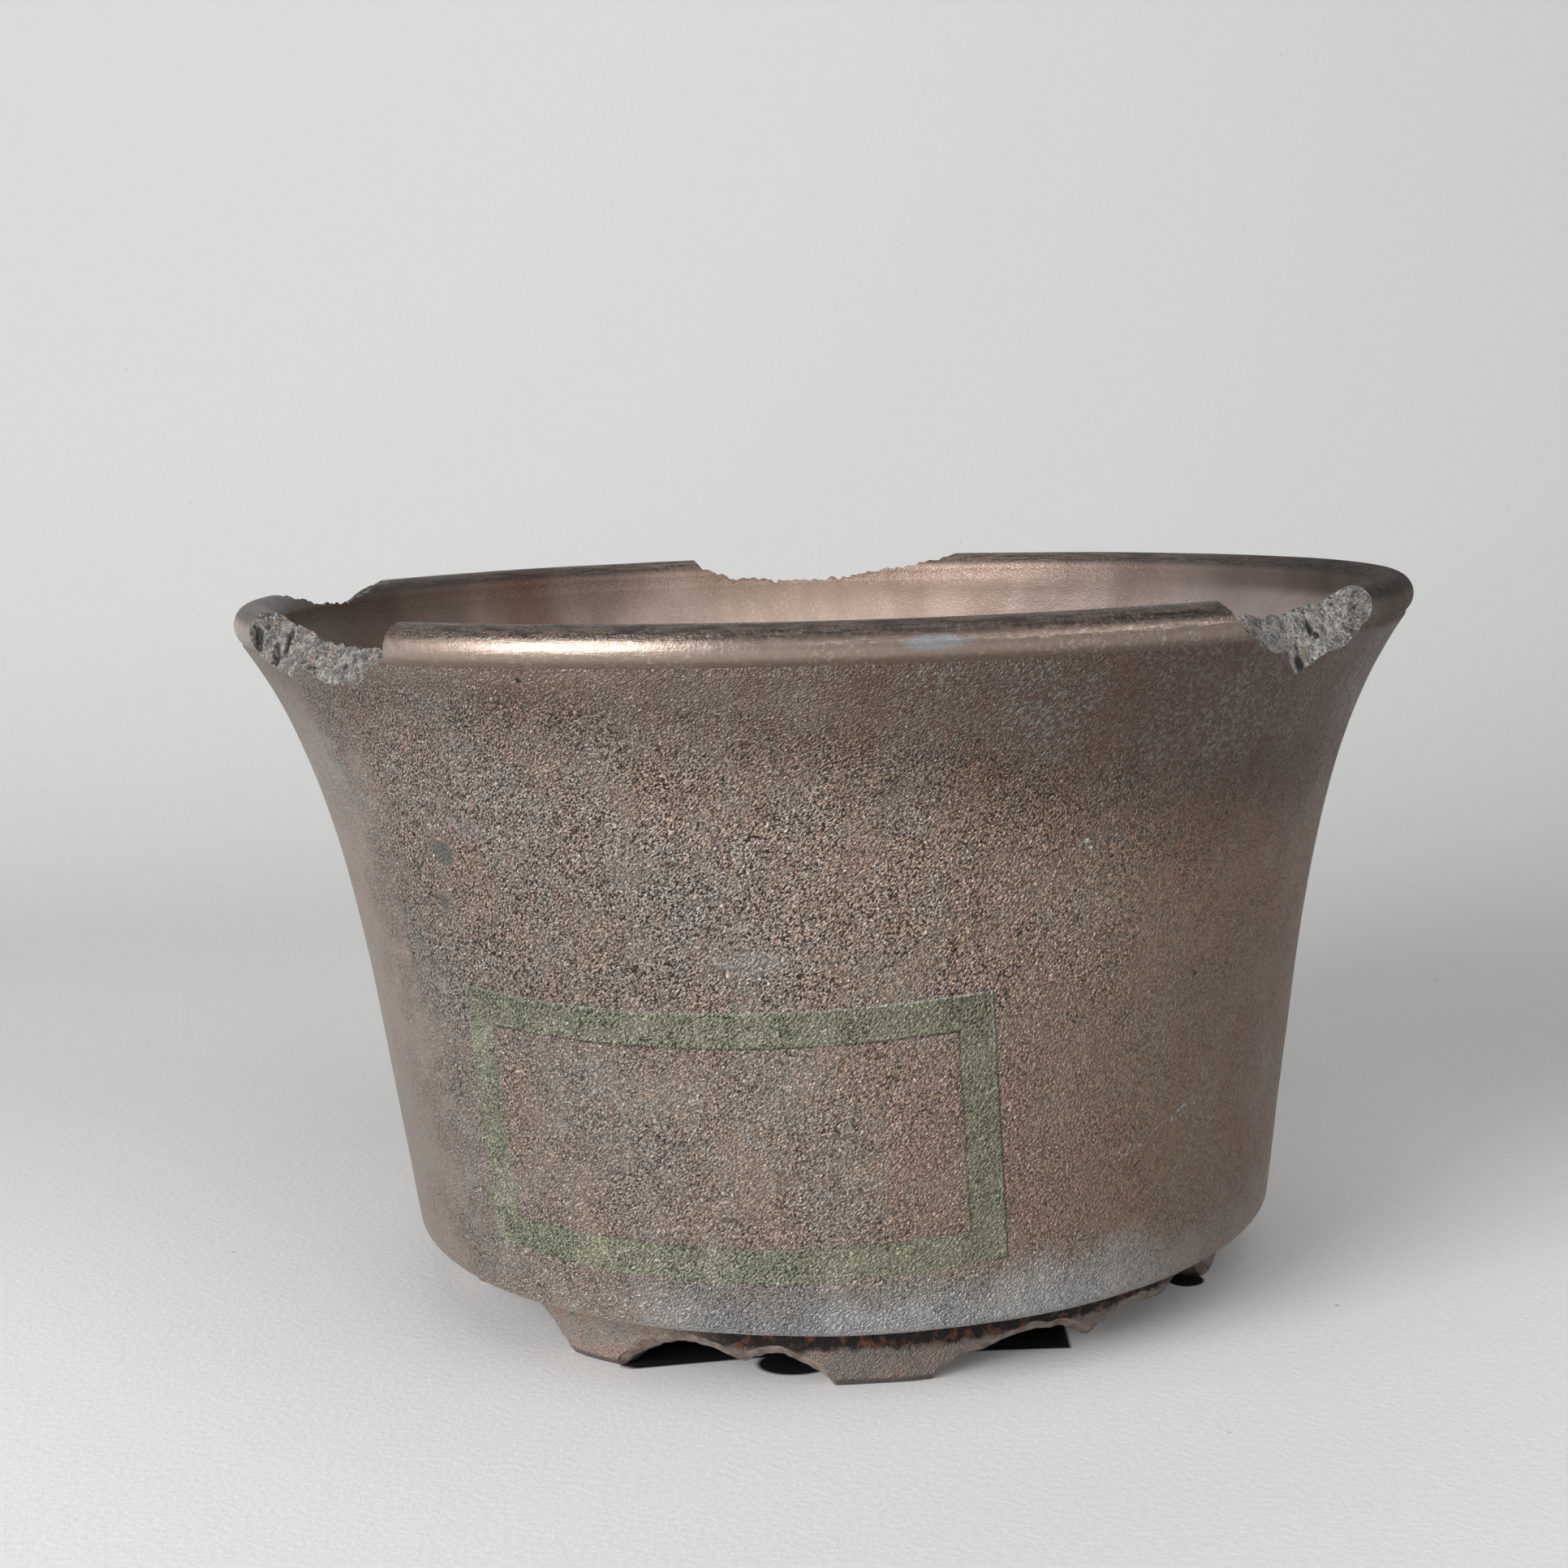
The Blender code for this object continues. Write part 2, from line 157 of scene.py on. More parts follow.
# Hollows and cracks in the broken faces, as (azimuth, radius, z) at both ends, and half width in mm.
STONE_HOLLOWS = [
    ((-150.9, 70.5, 88.3), (-150.2, 71.6, 86.4), 0.42),
    ((-151.9, 72.3, 87.0), (-150.3, 72.7, 85.0), 0.34),
    ((-153.3, 73.7, 88.3), (-152.8, 74.0, 86.7), 0.4),
    ((-142.2, 72.1, 84.4), (-141.8, 72.2, 84.3), 0.34),
    ((-131.9, 71.6, 85.2), (-131.6, 71.7, 85.1), 0.24),
    ((-138.4, 71.0, 85.1), (-138.0, 71.1, 85.0), 0.22),
    ((-40.3, 70.7, 85.5), (-40.2, 71.0, 85.2), 0.46),
    ((-42.9, 71.3, 81.9), (-42.8, 71.6, 81.6), 0.5),
    ((-39.8, 71.3, 84.5), (-39.7, 71.4, 84.4), 0.2),
]

# Each torn stretch of the foot ring, between two feet that reach the ground, as (azimuth, height).
RING_TEARS = {
    "tear_front_left": [
        (-123.6, -1.0), (-122.8, 0.0), (-120.3, 1.9), (-116.1, 3.9), (-111.0, 4.6), (-107.5, 3.7),
        (-104.0, 2.7), (-101.0, 3.7), (-98.6, 3.9), (-95.0, 2.1), (-93.4, 1.4), (-92.2, 0.0),
        (-91.5, -1.0),
    ],
    "tear_front_right": [
        (-79.2, -1.0), (-78.4, 0.0), (-75.6, 1.7), (-74.2, 2.6), (-70.4, 3.1), (-66.0, 4.1),
        (-60.0, 3.8), (-57.0, 2.7), (-54.5, 1.4), (-52.7, 2.3), (-48.8, 3.5), (-45.0, 3.6),
        (-38.5, 2.5), (-35.6, 3.8), (-31.0, 3.9), (-26.6, 2.9), (-21.8, 0.0), (-20.8, -1.0),
    ],
    "tear_right": [
        (-9.0, -1.0), (-8.0, 0.0), (-4.0, 2.6), (3.0, 4.3), (12.0, 3.4), (20.0, 4.5), (26.0, 2.2),
        (30.0, 0.0), (31.0, -1.0),
    ],
    "tear_back_right": [
        (43.0, -1.0), (44.0, 0.0), (48.0, 3.1), (57.0, 4.6), (66.0, 3.0), (74.0, 4.4), (83.0, 2.9),
        (88.0, 0.0), (89.0, -1.0),
    ],
    "tear_back_left": [
        (100.0, -1.0), (101.0, 0.0), (105.0, 2.4), (113.0, 4.5), (121.0, 3.4), (130.0, 4.6),
        (136.0, 2.6), (140.0, 0.0), (141.0, -1.0),
    ],
    "tear_left": [
        (152.0, -1.0), (153.0, 0.0), (157.0, 3.2), (165.0, 4.6), (172.0, 3.3), (178.0, 2.6),
        (182.0, 0.0), (183.0, -1.0),
    ],
    "tear_side_left": [
        (193.0, -1.0), (194.0, 0.0), (198.0, 2.8), (206.0, 4.4), (214.0, 5.4), (221.5, 4.6),
        (224.9, 2.7), (226.2, 1.2), (227.6, 0.0), (228.4, -1.0),
    ],
}


# ---------------------------------------------------------------- shapes


def direction(azimuth):
    """The x and y of one step out along an azimuth in degrees."""
    return math.cos(math.radians(azimuth)), math.sin(math.radians(azimuth))


def polar(azimuth, radius, z):
    """A point from its azimuth in degrees, its radius and its height."""
    c, s = direction(azimuth)
    return Vector((radius * c, radius * s, z))


def wall_radius(z):
    """The outer wall's radius at height z: a straight taper with a flare that grows with height."""
    rise = z - WALL_FOOT_Z
    return WALL_FOOT_RADIUS + WALL_TAPER * rise + FLARE * (max(rise, 0.0) / FLARE_HEIGHT) ** FLARE_POWER


def inner_radius(z):
    """The inner wall's radius at height z, below the lip."""
    share = (z - FLOOR_Z) / (LIP_CENTRE_Z - FLOOR_Z)
    return min(wall_radius(z) - (6.0 - 1.3 * share), LIP_CENTRE_R - LIP_RADIUS)


def outer_face_radius(z):
    """The outer face's radius at height z, on the wall or on the bead of the lip."""
    lift = z - LIP_CENTRE_Z
    if lift < LIP_RADIUS * math.sin(math.radians(LIP_START)):
        return wall_radius(z)
    return LIP_CENTRE_R + math.sqrt(max(LIP_RADIUS**2 - lift**2, 0.0))


def arc(centre_r, centre_z, radius, start, end, count):
    """Points (r, z) from the start angle to the end angle, in degrees."""
    angles = np.radians(np.linspace(start, end, count + 1))
    return [(centre_r + radius * math.cos(a), centre_z + radius * math.sin(a)) for a in angles]


def run(start, end, count):
    """Points on a straight line from start to end, both included."""
    return [
        (start[0] + (end[0] - start[0]) * i / count, start[1] + (end[1] - start[1]) * i / count)
        for i in range(count + 1)
    ]


def part(kind, points):
    """Points (r, z) with the part of the surface that they belong to."""
    return [(r, z, kind) for r, z in points]


def body_profile():
    """The pot's closed outline as (r, z, part): down the outside, under, up the drain and up the inside."""
    lip_foot_z = LIP_CENTRE_Z + LIP_RADIUS * math.sin(math.radians(LIP_START))
    wall_low = UNDERSIDE_Z + BOTTOM_ROUND
    under_r = wall_radius(wall_low) - BOTTOM_ROUND
    drain_r = DRAIN_RADIUS + DRAIN_ROUND
    fillet_top = FLOOR_Z + FLOOR_FILLET
    fillet_r = inner_radius(fillet_top) - FLOOR_FILLET
    outer_wall = [(wall_radius(z), z) for z in np.linspace(lip_foot_z - 0.35, wall_low, 62)]
    inner_wall = [(inner_radius(z), z) for z in np.linspace(fillet_top, LIP_CENTRE_Z, 44)[1:-1]]
    rows = part("lip", arc(LIP_CENTRE_R, LIP_CENTRE_Z, LIP_RADIUS, 90.0, LIP_START, 30))
    rows += part("outside", outer_wall)
    rows += part("outside", arc(under_r, wall_low, BOTTOM_ROUND, 0.0, -90.0, 6)[1:])
    rows += part("under", run((under_r - 1.0, UNDERSIDE_Z), (drain_r + 0.5, UNDERSIDE_Z), 12))
    rows += part("drain", arc(drain_r, UNDERSIDE_Z + DRAIN_ROUND, DRAIN_ROUND, -90.0, -180.0, 4))
    rows += part("drain", arc(drain_r, FLOOR_Z - DRAIN_ROUND, DRAIN_ROUND, 180.0, 90.0, 4))
    rows += part("floor", run((drain_r + 1.0, FLOOR_Z), (fillet_r, FLOOR_Z), 16))
    rows += part("inside", arc(fillet_r, fillet_top, FLOOR_FILLET, -90.0, 0.0, 8)[1:])
    rows += part("inside", inner_wall)
    return rows + part("lip", arc(LIP_CENTRE_R, LIP_CENTRE_Z, LIP_RADIUS, 180.0, 90.0, 14)[:-1])


def outward(points):
    """Unit normals (r, z) of a closed outline that runs clockwise, seen with r to the right and z up."""
    ahead = np.roll(points, -1, axis=0) - np.roll(points, 1, axis=0)
    normals = np.stack([-ahead[:, 1], ahead[:, 0]], axis=1)
    return normals / np.linalg.norm(normals, axis=1)[:, None]


def groove(angle, centre, width):
    """1 at the middle of a groove, falling to 0 on both sides."""
    return math.exp(-(((angle - centre) / width) ** 2))


# Turned grooves in the lip, as (angle on its bead, width) in degrees and depth in mm.
LIP_GROOVES = [(58.0, 2.0, 0.05), (67.0, 1.6, 0.08), (74.0, 1.8, 0.06), (84.0, 2.2, 0.07), (97.0, 2.5, 0.05)]


def body_relief(kind, r, z, azimuth, place):
    """How far the surface stands out from its outline, in mm: slow waves, throwing lines and grooves."""
    slow = noise.noise(place / 13.0)
    if kind == "outside":
        return 0.09 * slow + 0.03 * noise.noise(place / 3.5)
    if kind == "lip":
        angle = math.degrees(math.atan2(z - LIP_CENTRE_Z, r - LIP_CENTRE_R))
        cut = 0.0
        for centre, width, depth in LIP_GROOVES:
            wander = 2.5 * noise.noise(Vector((azimuth / 25.0, centre, 0.0)))
            strength = 0.6 + 0.8 * noise.noise(Vector((azimuth / 9.0, centre, 4.0)))
            cut += depth * max(strength, 0.0) * groove(angle, centre + wander, width)
        return 0.04 * slow - cut - 0.03
    if kind == "inside":
        turn = z / THROWING_PITCH + azimuth / 360.0
        return 0.14 * math.sin(math.tau * turn) + 0.12 * slow - 0.1
    if kind == "floor":
        turn = r / FLOOR_LINE_PITCH - azimuth / 360.0
        return 0.12 * math.sin(math.tau * turn) + 0.1 * slow
    return 0.05 * slow


def ring_of_points(profile, columns, relief, lean=0.0):
    """A grid of points, in mm: a closed outline turned round Z, with relief along its normals and a lean."""
    normals = outward(np.array([(r, z) for r, z, _ in profile]))
    points = np.empty((len(profile), columns, 3))
    for j in range(columns):
        azimuth = 360.0 * j / columns
        c, s = direction(azimuth)
        for i, (r, z, kind) in enumerate(profile):
            out = relief(kind, r, z, azimuth, Vector((r * c, r * s, z)))
            rr, zz = r + out * normals[i, 0], z + out * normals[i, 1]
            share = max(zz - UNDERSIDE_Z, 0.0) / (LIP_CENTRE_Z + LIP_RADIUS - UNDERSIDE_Z)
            zz -= lean * share**3 * rr * c / LIP_CENTRE_R
            points[i, j] = rr * c, rr * s, zz
    return points


def grid_mesh(name, points):
    """A closed mesh of quads over a grid of points in mm, which wraps both ways."""
    rows, columns = points.shape[:2]
    faces = []
    for i in range(rows):
        for j in range(columns):
            k, n = (i + 1) % rows, (j + 1) % columns
            faces.append((i * columns + j, k * columns + j, k * columns + n, i * columns + n))
    mesh = bpy.data.meshes.new(name)
    mesh.from_pydata((points.reshape(-1, 3) * MM).tolist(), [], faces)
    return mesh


def facing_out(mesh):
    """A closed mesh with all its faces turned outwards."""
    shape = bmesh.new()
    shape.from_mesh(mesh)
    bmesh.ops.recalc_face_normals(shape, faces=shape.faces)
    if shape.calc_volume(signed=True) < 0.0:
        bmesh.ops.reverse_faces(shape, faces=shape.faces)
    shape.to_mesh(mesh)
    shape.free()
    return mesh


def shown(name, mesh, looks):
    """An object in the scene with those materials."""
    made = bpy.data.objects.new(name, mesh)
    bpy.context.scene.collection.objects.link(made)
    for look in looks:
        made.data.materials.append(look)
    return made


def block_mesh(name, surface, far_z):
    """A closed block between an uneven surface and the level far_z. surface is a grid of points in mm."""
    rows, columns = surface.shape[:2]
    far = surface.copy()
    far[:, :, 2] = far_z
    count = rows * columns
    faces = []

    def at(i, j, layer):
        return layer * count + i * columns + j

    for i in range(rows - 1):
        for j in range(columns - 1):
            face = (at(i, j, 0), at(i + 1, j, 0), at(i + 1, j + 1, 0), at(i, j + 1, 0))
            faces.append(face)
            faces.append(tuple(v + count for v in reversed(face)))
    edge = [(i, 0) for i in range(rows)]
    edge += [(rows - 1, j) for j in range(1, columns)]
    edge += [(i, columns - 1) for i in range(rows - 2, -1, -1)]
    edge += [(0, j) for j in range(columns - 2, 0, -1)]
    for (i, j), (k, n) in zip(edge, edge[1:] + edge[:1]):
        faces.append((at(k, n, 0), at(i, j, 0), at(i, j, 1), at(k, n, 1)))
    mesh = bpy.data.meshes.new(name)
    points = np.concatenate([surface.reshape(-1, 3), far.reshape(-1, 3)]) * MM
    mesh.from_pydata(points.tolist(), [], faces)
    mesh.polygons.foreach_set("material_index", [BROKEN_SLOT] * len(faces))
    return facing_out(mesh)


def columns_along(lines, step, radius):
    """Azimuths that follow the lines' corners, no further apart than the step along any line, in mm."""
    corners = sorted({azimuth for line in lines for azimuth, _ in line})
    found = [corners[0]]
    for before, after in zip(corners, corners[1:]):
        rise = max(abs(height_on(line, after) - height_on(line, before)) for line in lines)
        length = max(math.radians(after - before) * radius, rise)
        count = max(1, math.ceil(length / step))
        found += [before + (after - before) * (i + 1) / count for i in range(count)]
    return found


def height_on(line, azimuth):
    """The height of a line of (azimuth, height) points at that azimuth."""
    return float(np.interp(azimuth, [a for a, _ in line], [h for _, h in line]))


def carve(target, cutters):
    """Takes the cutters' shapes out of the target, and removes them."""
    for cutter in cutters:
        boolean = target.modifiers.new(cutter.name, "BOOLEAN")
        boolean.operation = "DIFFERENCE"
        boolean.solver = "MANIFOLD"
        boolean.object = cutter
    depsgraph = bpy.context.evaluated_depsgraph_get()
    mesh = bpy.data.meshes.new_from_object(target.evaluated_get(depsgraph))
    target.modifiers.clear()
    target.data = mesh
    for cutter in cutters:
        bpy.data.objects.remove(cutter)


def shade(target, flat_slots, sharp_degrees=50.0):
    """Smooth faces, except in the material slots named, with sharp edges kept above that angle."""
    for face in target.data.polygons:
        face.use_smooth = face.material_index not in flat_slots
    target.data.set_sharp_from_angle(angle=math.radians(sharp_degrees))


def hollow_depth(place):
    """How deep the stated hollows and cracks are at that place, in mm."""
    deepest = 0.0
    for start, end, half_width in STONE_HOLLOWS:
        a, b = polar(*start).to_2d(), polar(*end).to_2d()
        share = min(max((place.to_2d() - a).dot(b - a) / (b - a).length_squared, 0.0), 1.0)
        away = (place.to_2d() - a.lerp(b, share)).length
        deepest = max(deepest, 3.2 * half_width * math.exp(-((away / half_width) ** 2)))
    return deepest


def fracture_relief(place):
    """The grain of broken stoneware, in mm: lumps, crumbs and hollows."""
    lumps = 0.42 * noise.noise(place / 2.1)
    crumbs = 0.3 * noise.noise(place / 0.95)
    grains = 0.16 * noise.noise(place / 0.42)
    hollows = max(noise.noise(place / 1.3 + Vector((7.0, 3.0, 5.0))) - 0.32, 0.0)
    return lumps + crumbs + grains - 1.4 * hollows - hollow_depth(place)


def chip_cutter(name, edges):
    """What is missing at a chip: all that is above a rough face between its inner and its outer edge."""
    outer, inner = edges["outer"], edges["inner"]
    azimuths = columns_along([outer, inner], CHIP_STEP, LIP_CENTRE_R)
    from_radius, to_radius = CHIP_RADII
    radii = np.linspace(from_radius, to_radius, round((to_radius - from_radius) / CHIP_STEP))
    inner_at = LIP_CENTRE_R - LIP_RADIUS
    surface = np.empty((len(azimuths), len(radii), 3))
    for i, azimuth in enumerate(azimuths):
        c, s = direction(azimuth)
        high, low = height_on(inner, azimuth), height_on(outer, azimuth)
        outer_at = outer_face_radius(min(low, LIP_CENTRE_Z + LIP_RADIUS - 0.05))
        for j, r in enumerate(radii):
            share = (r - inner_at) / max(outer_at - inner_at, 1.0)
            z = high + (low - high) * share
            place = Vector((r * c, r * s, z))
            z += fracture_relief(place)
            sideways = 0.12 * noise.noise(place / 0.8 + Vector((0.0, 0.0, 20.0)))
            outwards = 0.12 * noise.noise(place / 0.8 + Vector((0.0, 20.0, 0.0)))
            surface[i, j] = (r + outwards) * c - sideways * s, (r + outwards) * s + sideways * c, z
    return shown(name, block_mesh(name, surface, CHIP_TOP_Z), [])


def tear_cutter(name, line):
    """What is missing between two feet: everything below a ragged arch whose outer edge is rubbed off."""
    azimuths = columns_along([line], TEAR_STEP, RING_BASE_RADIUS)
    from_radius, edge_radius, to_radius = TEAR_RADII
    radii = [*np.linspace(from_radius, edge_radius, 18)[:-1], *np.linspace(edge_radius, to_radius, 19)]
    surface = np.empty((len(azimuths), len(radii), 3))
    for i, azimuth in enumerate(azimuths):
        c, s = direction(azimuth)
        height = height_on(line, azimuth)
        for j, r in enumerate(radii):
            place = Vector((r * c, r * s, height))
            outer_at = RING_BASE_RADIUS + (RING_TOP_RADIUS - RING_BASE_RADIUS) * height / RING_TOP_Z
            bevel = 0.9 * max((r - outer_at + 0.75) / 0.75, 0.0) ** 1.3
            rough = 0.3 * noise.noise(place / 2.4) + 0.14 * noise.noise(place / 0.8)
            surface[i, j] = r * c, r * s, height + min(bevel, 1.4) + rough
    return shown(name, block_mesh(name, surface, TEAR_BOTTOM_Z), [])


def hole_cutter(name, x, y, radius, low, high):
    """A round pin from low to high."""
    shape = bmesh.new()
    made = bmesh.ops.create_cone(
        shape,
        cap_ends=True,
        segments=28,
        radius1=radius * MM,
        radius2=radius * MM,
        depth=(high - low) * MM,
    )
    bmesh.ops.translate(shape, verts=made["verts"], vec=Vector((x, y, 0.5 * (low + high))) * MM)
    mesh = bpy.data.meshes.new(name)
    shape.to_mesh(mesh)
    shape.free()
    return shown(name, mesh, [])


def make_body(looks):
    """The thrown pot, in one piece, with its grooved lip, broken rim, drain and wire holes."""
    points = ring_of_points(body_profile(), BODY_COLUMNS, body_relief, RIM_LEAN)
    body = shown("stoneware_body", grid_mesh("stoneware_body", points), looks)
    cutters = [chip_cutter(name, edges) for name, edges in RIM_CHIPS.items()]
    for i, (x, y) in enumerate(WIRE_HOLE_PLACES):
        cutters.append(hole_cutter(f"wire_hole_{i}", x, y, WIRE_HOLE_RADIUS, UNDERSIDE_Z - 3, FLOOR_Z + 3))
    carve(body, cutters)
    shade(body, flat_slots=(BROKEN_SLOT,))
    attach(body, "root")
    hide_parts("pot_body")
    return body


def ring_profile():
    """The foot ring's closed outline before it is torn, clockwise from the top outside."""
    top, base, inner = RING_TOP_RADIUS, RING_BASE_RADIUS, RING_INNER_RADIUS
    rows = part("face", run((top - 0.1, RING_TOP_Z), (base + 0.55, 0.9), 16))
    rows += part("chamfer", run((base + 0.5, 0.8), (base - 0.1, 0.02), 3))
    rows += part("sole", run((base - 0.4, 0.0), (inner + 0.6, 0.0), 4))
    rows += part("face", run((inner + 0.1, 0.5), (inner - 0.1, RING_TOP_Z - 0.2), 8))
    return rows + part("top", run((inner + 0.2, RING_TOP_Z), (top - 0.6, RING_TOP_Z), 3))


def ring_relief(kind, r, z, azimuth, place):
    """Slow waves and finger marks on the foot ring's faces, in mm."""
    if kind in ("sole", "top"):
        return 0.0
    return 0.14 * noise.noise(place / 6.0) + 0.05 * noise.noise(place / 2.0) - 0.1


def make_foot_ring(looks):
    """The ring under the floor, torn between its feet."""
    points = ring_of_points(ring_profile(), RING_COLUMNS, ring_relief)
    ring = shown("torn_foot_ring", grid_mesh("torn_foot_ring", points), looks)
    carve(ring, [tear_cutter(name, line) for name, line in RING_TEARS.items()])
    shade(ring, flat_slots=())
    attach(ring, "root")
    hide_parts("foot_ring")
    return ring


# The rounding of a strand, as (distance from the hole's edge, height) in shares of its half thickness.
STRAND_ROWS = [(0.30, 0.94), (0.06, 0.62), (0.0, 0.0), (0.06, -0.62), (0.30, -0.94)]
CELL_STEPS = [(side, step) for side in range(4) for step in range(4)]


def screen_cell(centre, box, half_thick):
    """One cell of the screen as rings of points (x, y, height share), from its top edge through its hole."""
    x0, x1, y0, y1 = box
    corners = [Vector(corner) for corner in ((x0, y0), (x1, y0), (x1, y1), (x0, y1))]
    edge = [corners[side].lerp(corners[(side + 1) % 4], step / 4) for side, step in CELL_STEPS]
    rings = [[(x, y, 1.0) for x, y in edge]]
    for away, height in STRAND_ROWS:
        ring = []
        for side, step in CELL_STEPS:
            c, s = direction(-135.0 + 90.0 * side + 22.5 * step)
            size = 0.5 * SCREEN_HOLE / (abs(c) ** 6 + abs(s) ** 6) ** (1.0 / 6.0) + away * half_thick
            ring.append((centre[0] + size * c, centre[1] + size * s, height))
        rings.append(ring)
    return rings + [[(x, y, -1.0) for x, y in edge]]


def make_screen(looks):
    """The drain screen: a moulded grid with rounded strands and rounded square holes."""
    low, high = (Vector(corner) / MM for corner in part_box("drain_screen"))
    middle, half = 0.5 * (low + high), 0.5 * (high - low)
    border = half.x - 0.5 * SCREEN_CELLS * SCREEN_PITCH
    lines = [(i - 0.5 * SCREEN_CELLS) * SCREEN_PITCH for i in range(SCREEN_CELLS + 1)]
    lines[0] -= border
    lines[-1] += border
    centres = [(i - 0.5 * (SCREEN_CELLS - 1)) * SCREEN_PITCH for i in range(SCREEN_CELLS)]
    shape = bmesh.new()
    for i, cx in enumerate(centres):
        for j, cy in enumerate(centres):
            verts = []
            for ring in screen_cell((cx, cy), (lines[i], lines[i + 1], lines[j], lines[j + 1]), half.z):
                places = [middle + Vector((x, y, height * half.z)) for x, y, height in ring]
                verts.append([shape.verts.new(place) for place in places])
            for upper, lower in zip(verts, verts[1:]):
                for k, n in zip(range(len(upper)), (*range(1, len(upper)), 0)):
                    shape.faces.new((upper[k], upper[n], lower[n], lower[k]))
    bmesh.ops.remove_doubles(shape, verts=shape.verts, dist=0.01)
    open_edges = [edge for edge in shape.edges if edge.is_boundary]
    bmesh.ops.bridge_loops(shape, edges=open_edges)
    bmesh.ops.recalc_face_normals(shape, faces=shape.faces)
    bmesh.ops.scale(shape, verts=shape.verts, vec=(MM, MM, MM))
    mesh = bpy.data.meshes.new("drain_screen_moulded")
    shape.to_mesh(mesh)
    shape.free()
    screen = shown("drain_screen_moulded", mesh, looks)
    shade(screen, flat_slots=(), sharp_degrees=60.0)
    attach(screen, "root")
    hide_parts("drain_screen")
    return screen


def bent_route(corners, bend, steps):
    """Points along straight runs between the corners, in a vertical plane, with each corner rounded."""
    route = [corners[0]]
    for before, corner, after in zip(corners, corners[1:], corners[2:]):
        back, ahead = (before - corner).normalized(), (after - corner).normalized()
        centre = corner + (back + ahead) * bend
        for k in range(steps + 1):
            angle = 0.5 * math.pi * k / steps
            route.append(centre - ahead * bend * math.cos(angle) - back * bend * math.sin(angle))
    route.append(corners[-1])
    return route


def make_clip(looks):
    """The wire clip: across the screen, down through the drain, and out under the floor."""
    low, high = (Vector(corner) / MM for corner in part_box("screen_clip"))
    y = 0.5 * (low.y + high.y)
    over, under = high.z - CLIP_WIRE_RADIUS, low.z + CLIP_WIRE_RADIUS
    places = [(low.x, under), (-CLIP_LEG_X, under), (-CLIP_LEG_X, over)]
    places += [(CLIP_LEG_X, over), (CLIP_LEG_X, under), (high.x, under)]
    route = bent_route([Vector((x, y, z)) for x, z in places], CLIP_BEND, 10)
    sides = 24
    sideways = Vector((0.0, 1.0, 0.0))
    rows = []
    for i, place in enumerate(route):
        before, after = route[max(i - 1, 0)], route[min(i + 1, len(route) - 1)]
        along = (after - before).normalized()
        outwards = Vector((-along.z, 0.0, along.x))
        ring = []
        for k in range(sides):
            angle = math.tau * k / sides
            away = outwards * math.cos(angle) + sideways * math.sin(angle)
            ring.append(place + away * CLIP_WIRE_RADIUS)
        rows.append(ring)

    # both cut ends have a small chamfer
    chamfer = Vector((0.14, 0.0, 0.0))
    first, last = rows[0], rows[-1]
    rows[0] = [point + chamfer for point in first]
    rows[-1] = [point - chamfer for point in last]
    rows.insert(0, [route[0].lerp(point, 0.72) for point in first])
    rows.append([route[-1].lerp(point, 0.72) for point in last])
    verts = [point * MM for ring in rows for point in ring]
    faces = []
    for i in range(len(rows) - 1):
        for k in range(sides):
            n = (k + 1) % sides
            faces.append((i * sides + k, i * sides + n, (i + 1) * sides + n, (i + 1) * sides + k))
    faces.append(tuple(reversed(range(sides))))
    faces.append(tuple(range((len(rows) - 1) * sides, len(rows) * sides)))
    mesh = bpy.data.meshes.new("screen_clip_wire")
    mesh.from_pydata([tuple(point) for point in verts], [], faces)
    clip = shown("screen_clip_wire", facing_out(mesh), looks)
    shade(clip, flat_slots=(), sharp_degrees=40.0)
    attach(clip, "root")
    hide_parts("screen_clip")
    return clip


# ---------------------------------------------------------------- materials

# The colour sockets of a Mix node, among those of its other kinds of value.
MIX_A, MIX_B, MIX_RESULT = 6, 7, 2


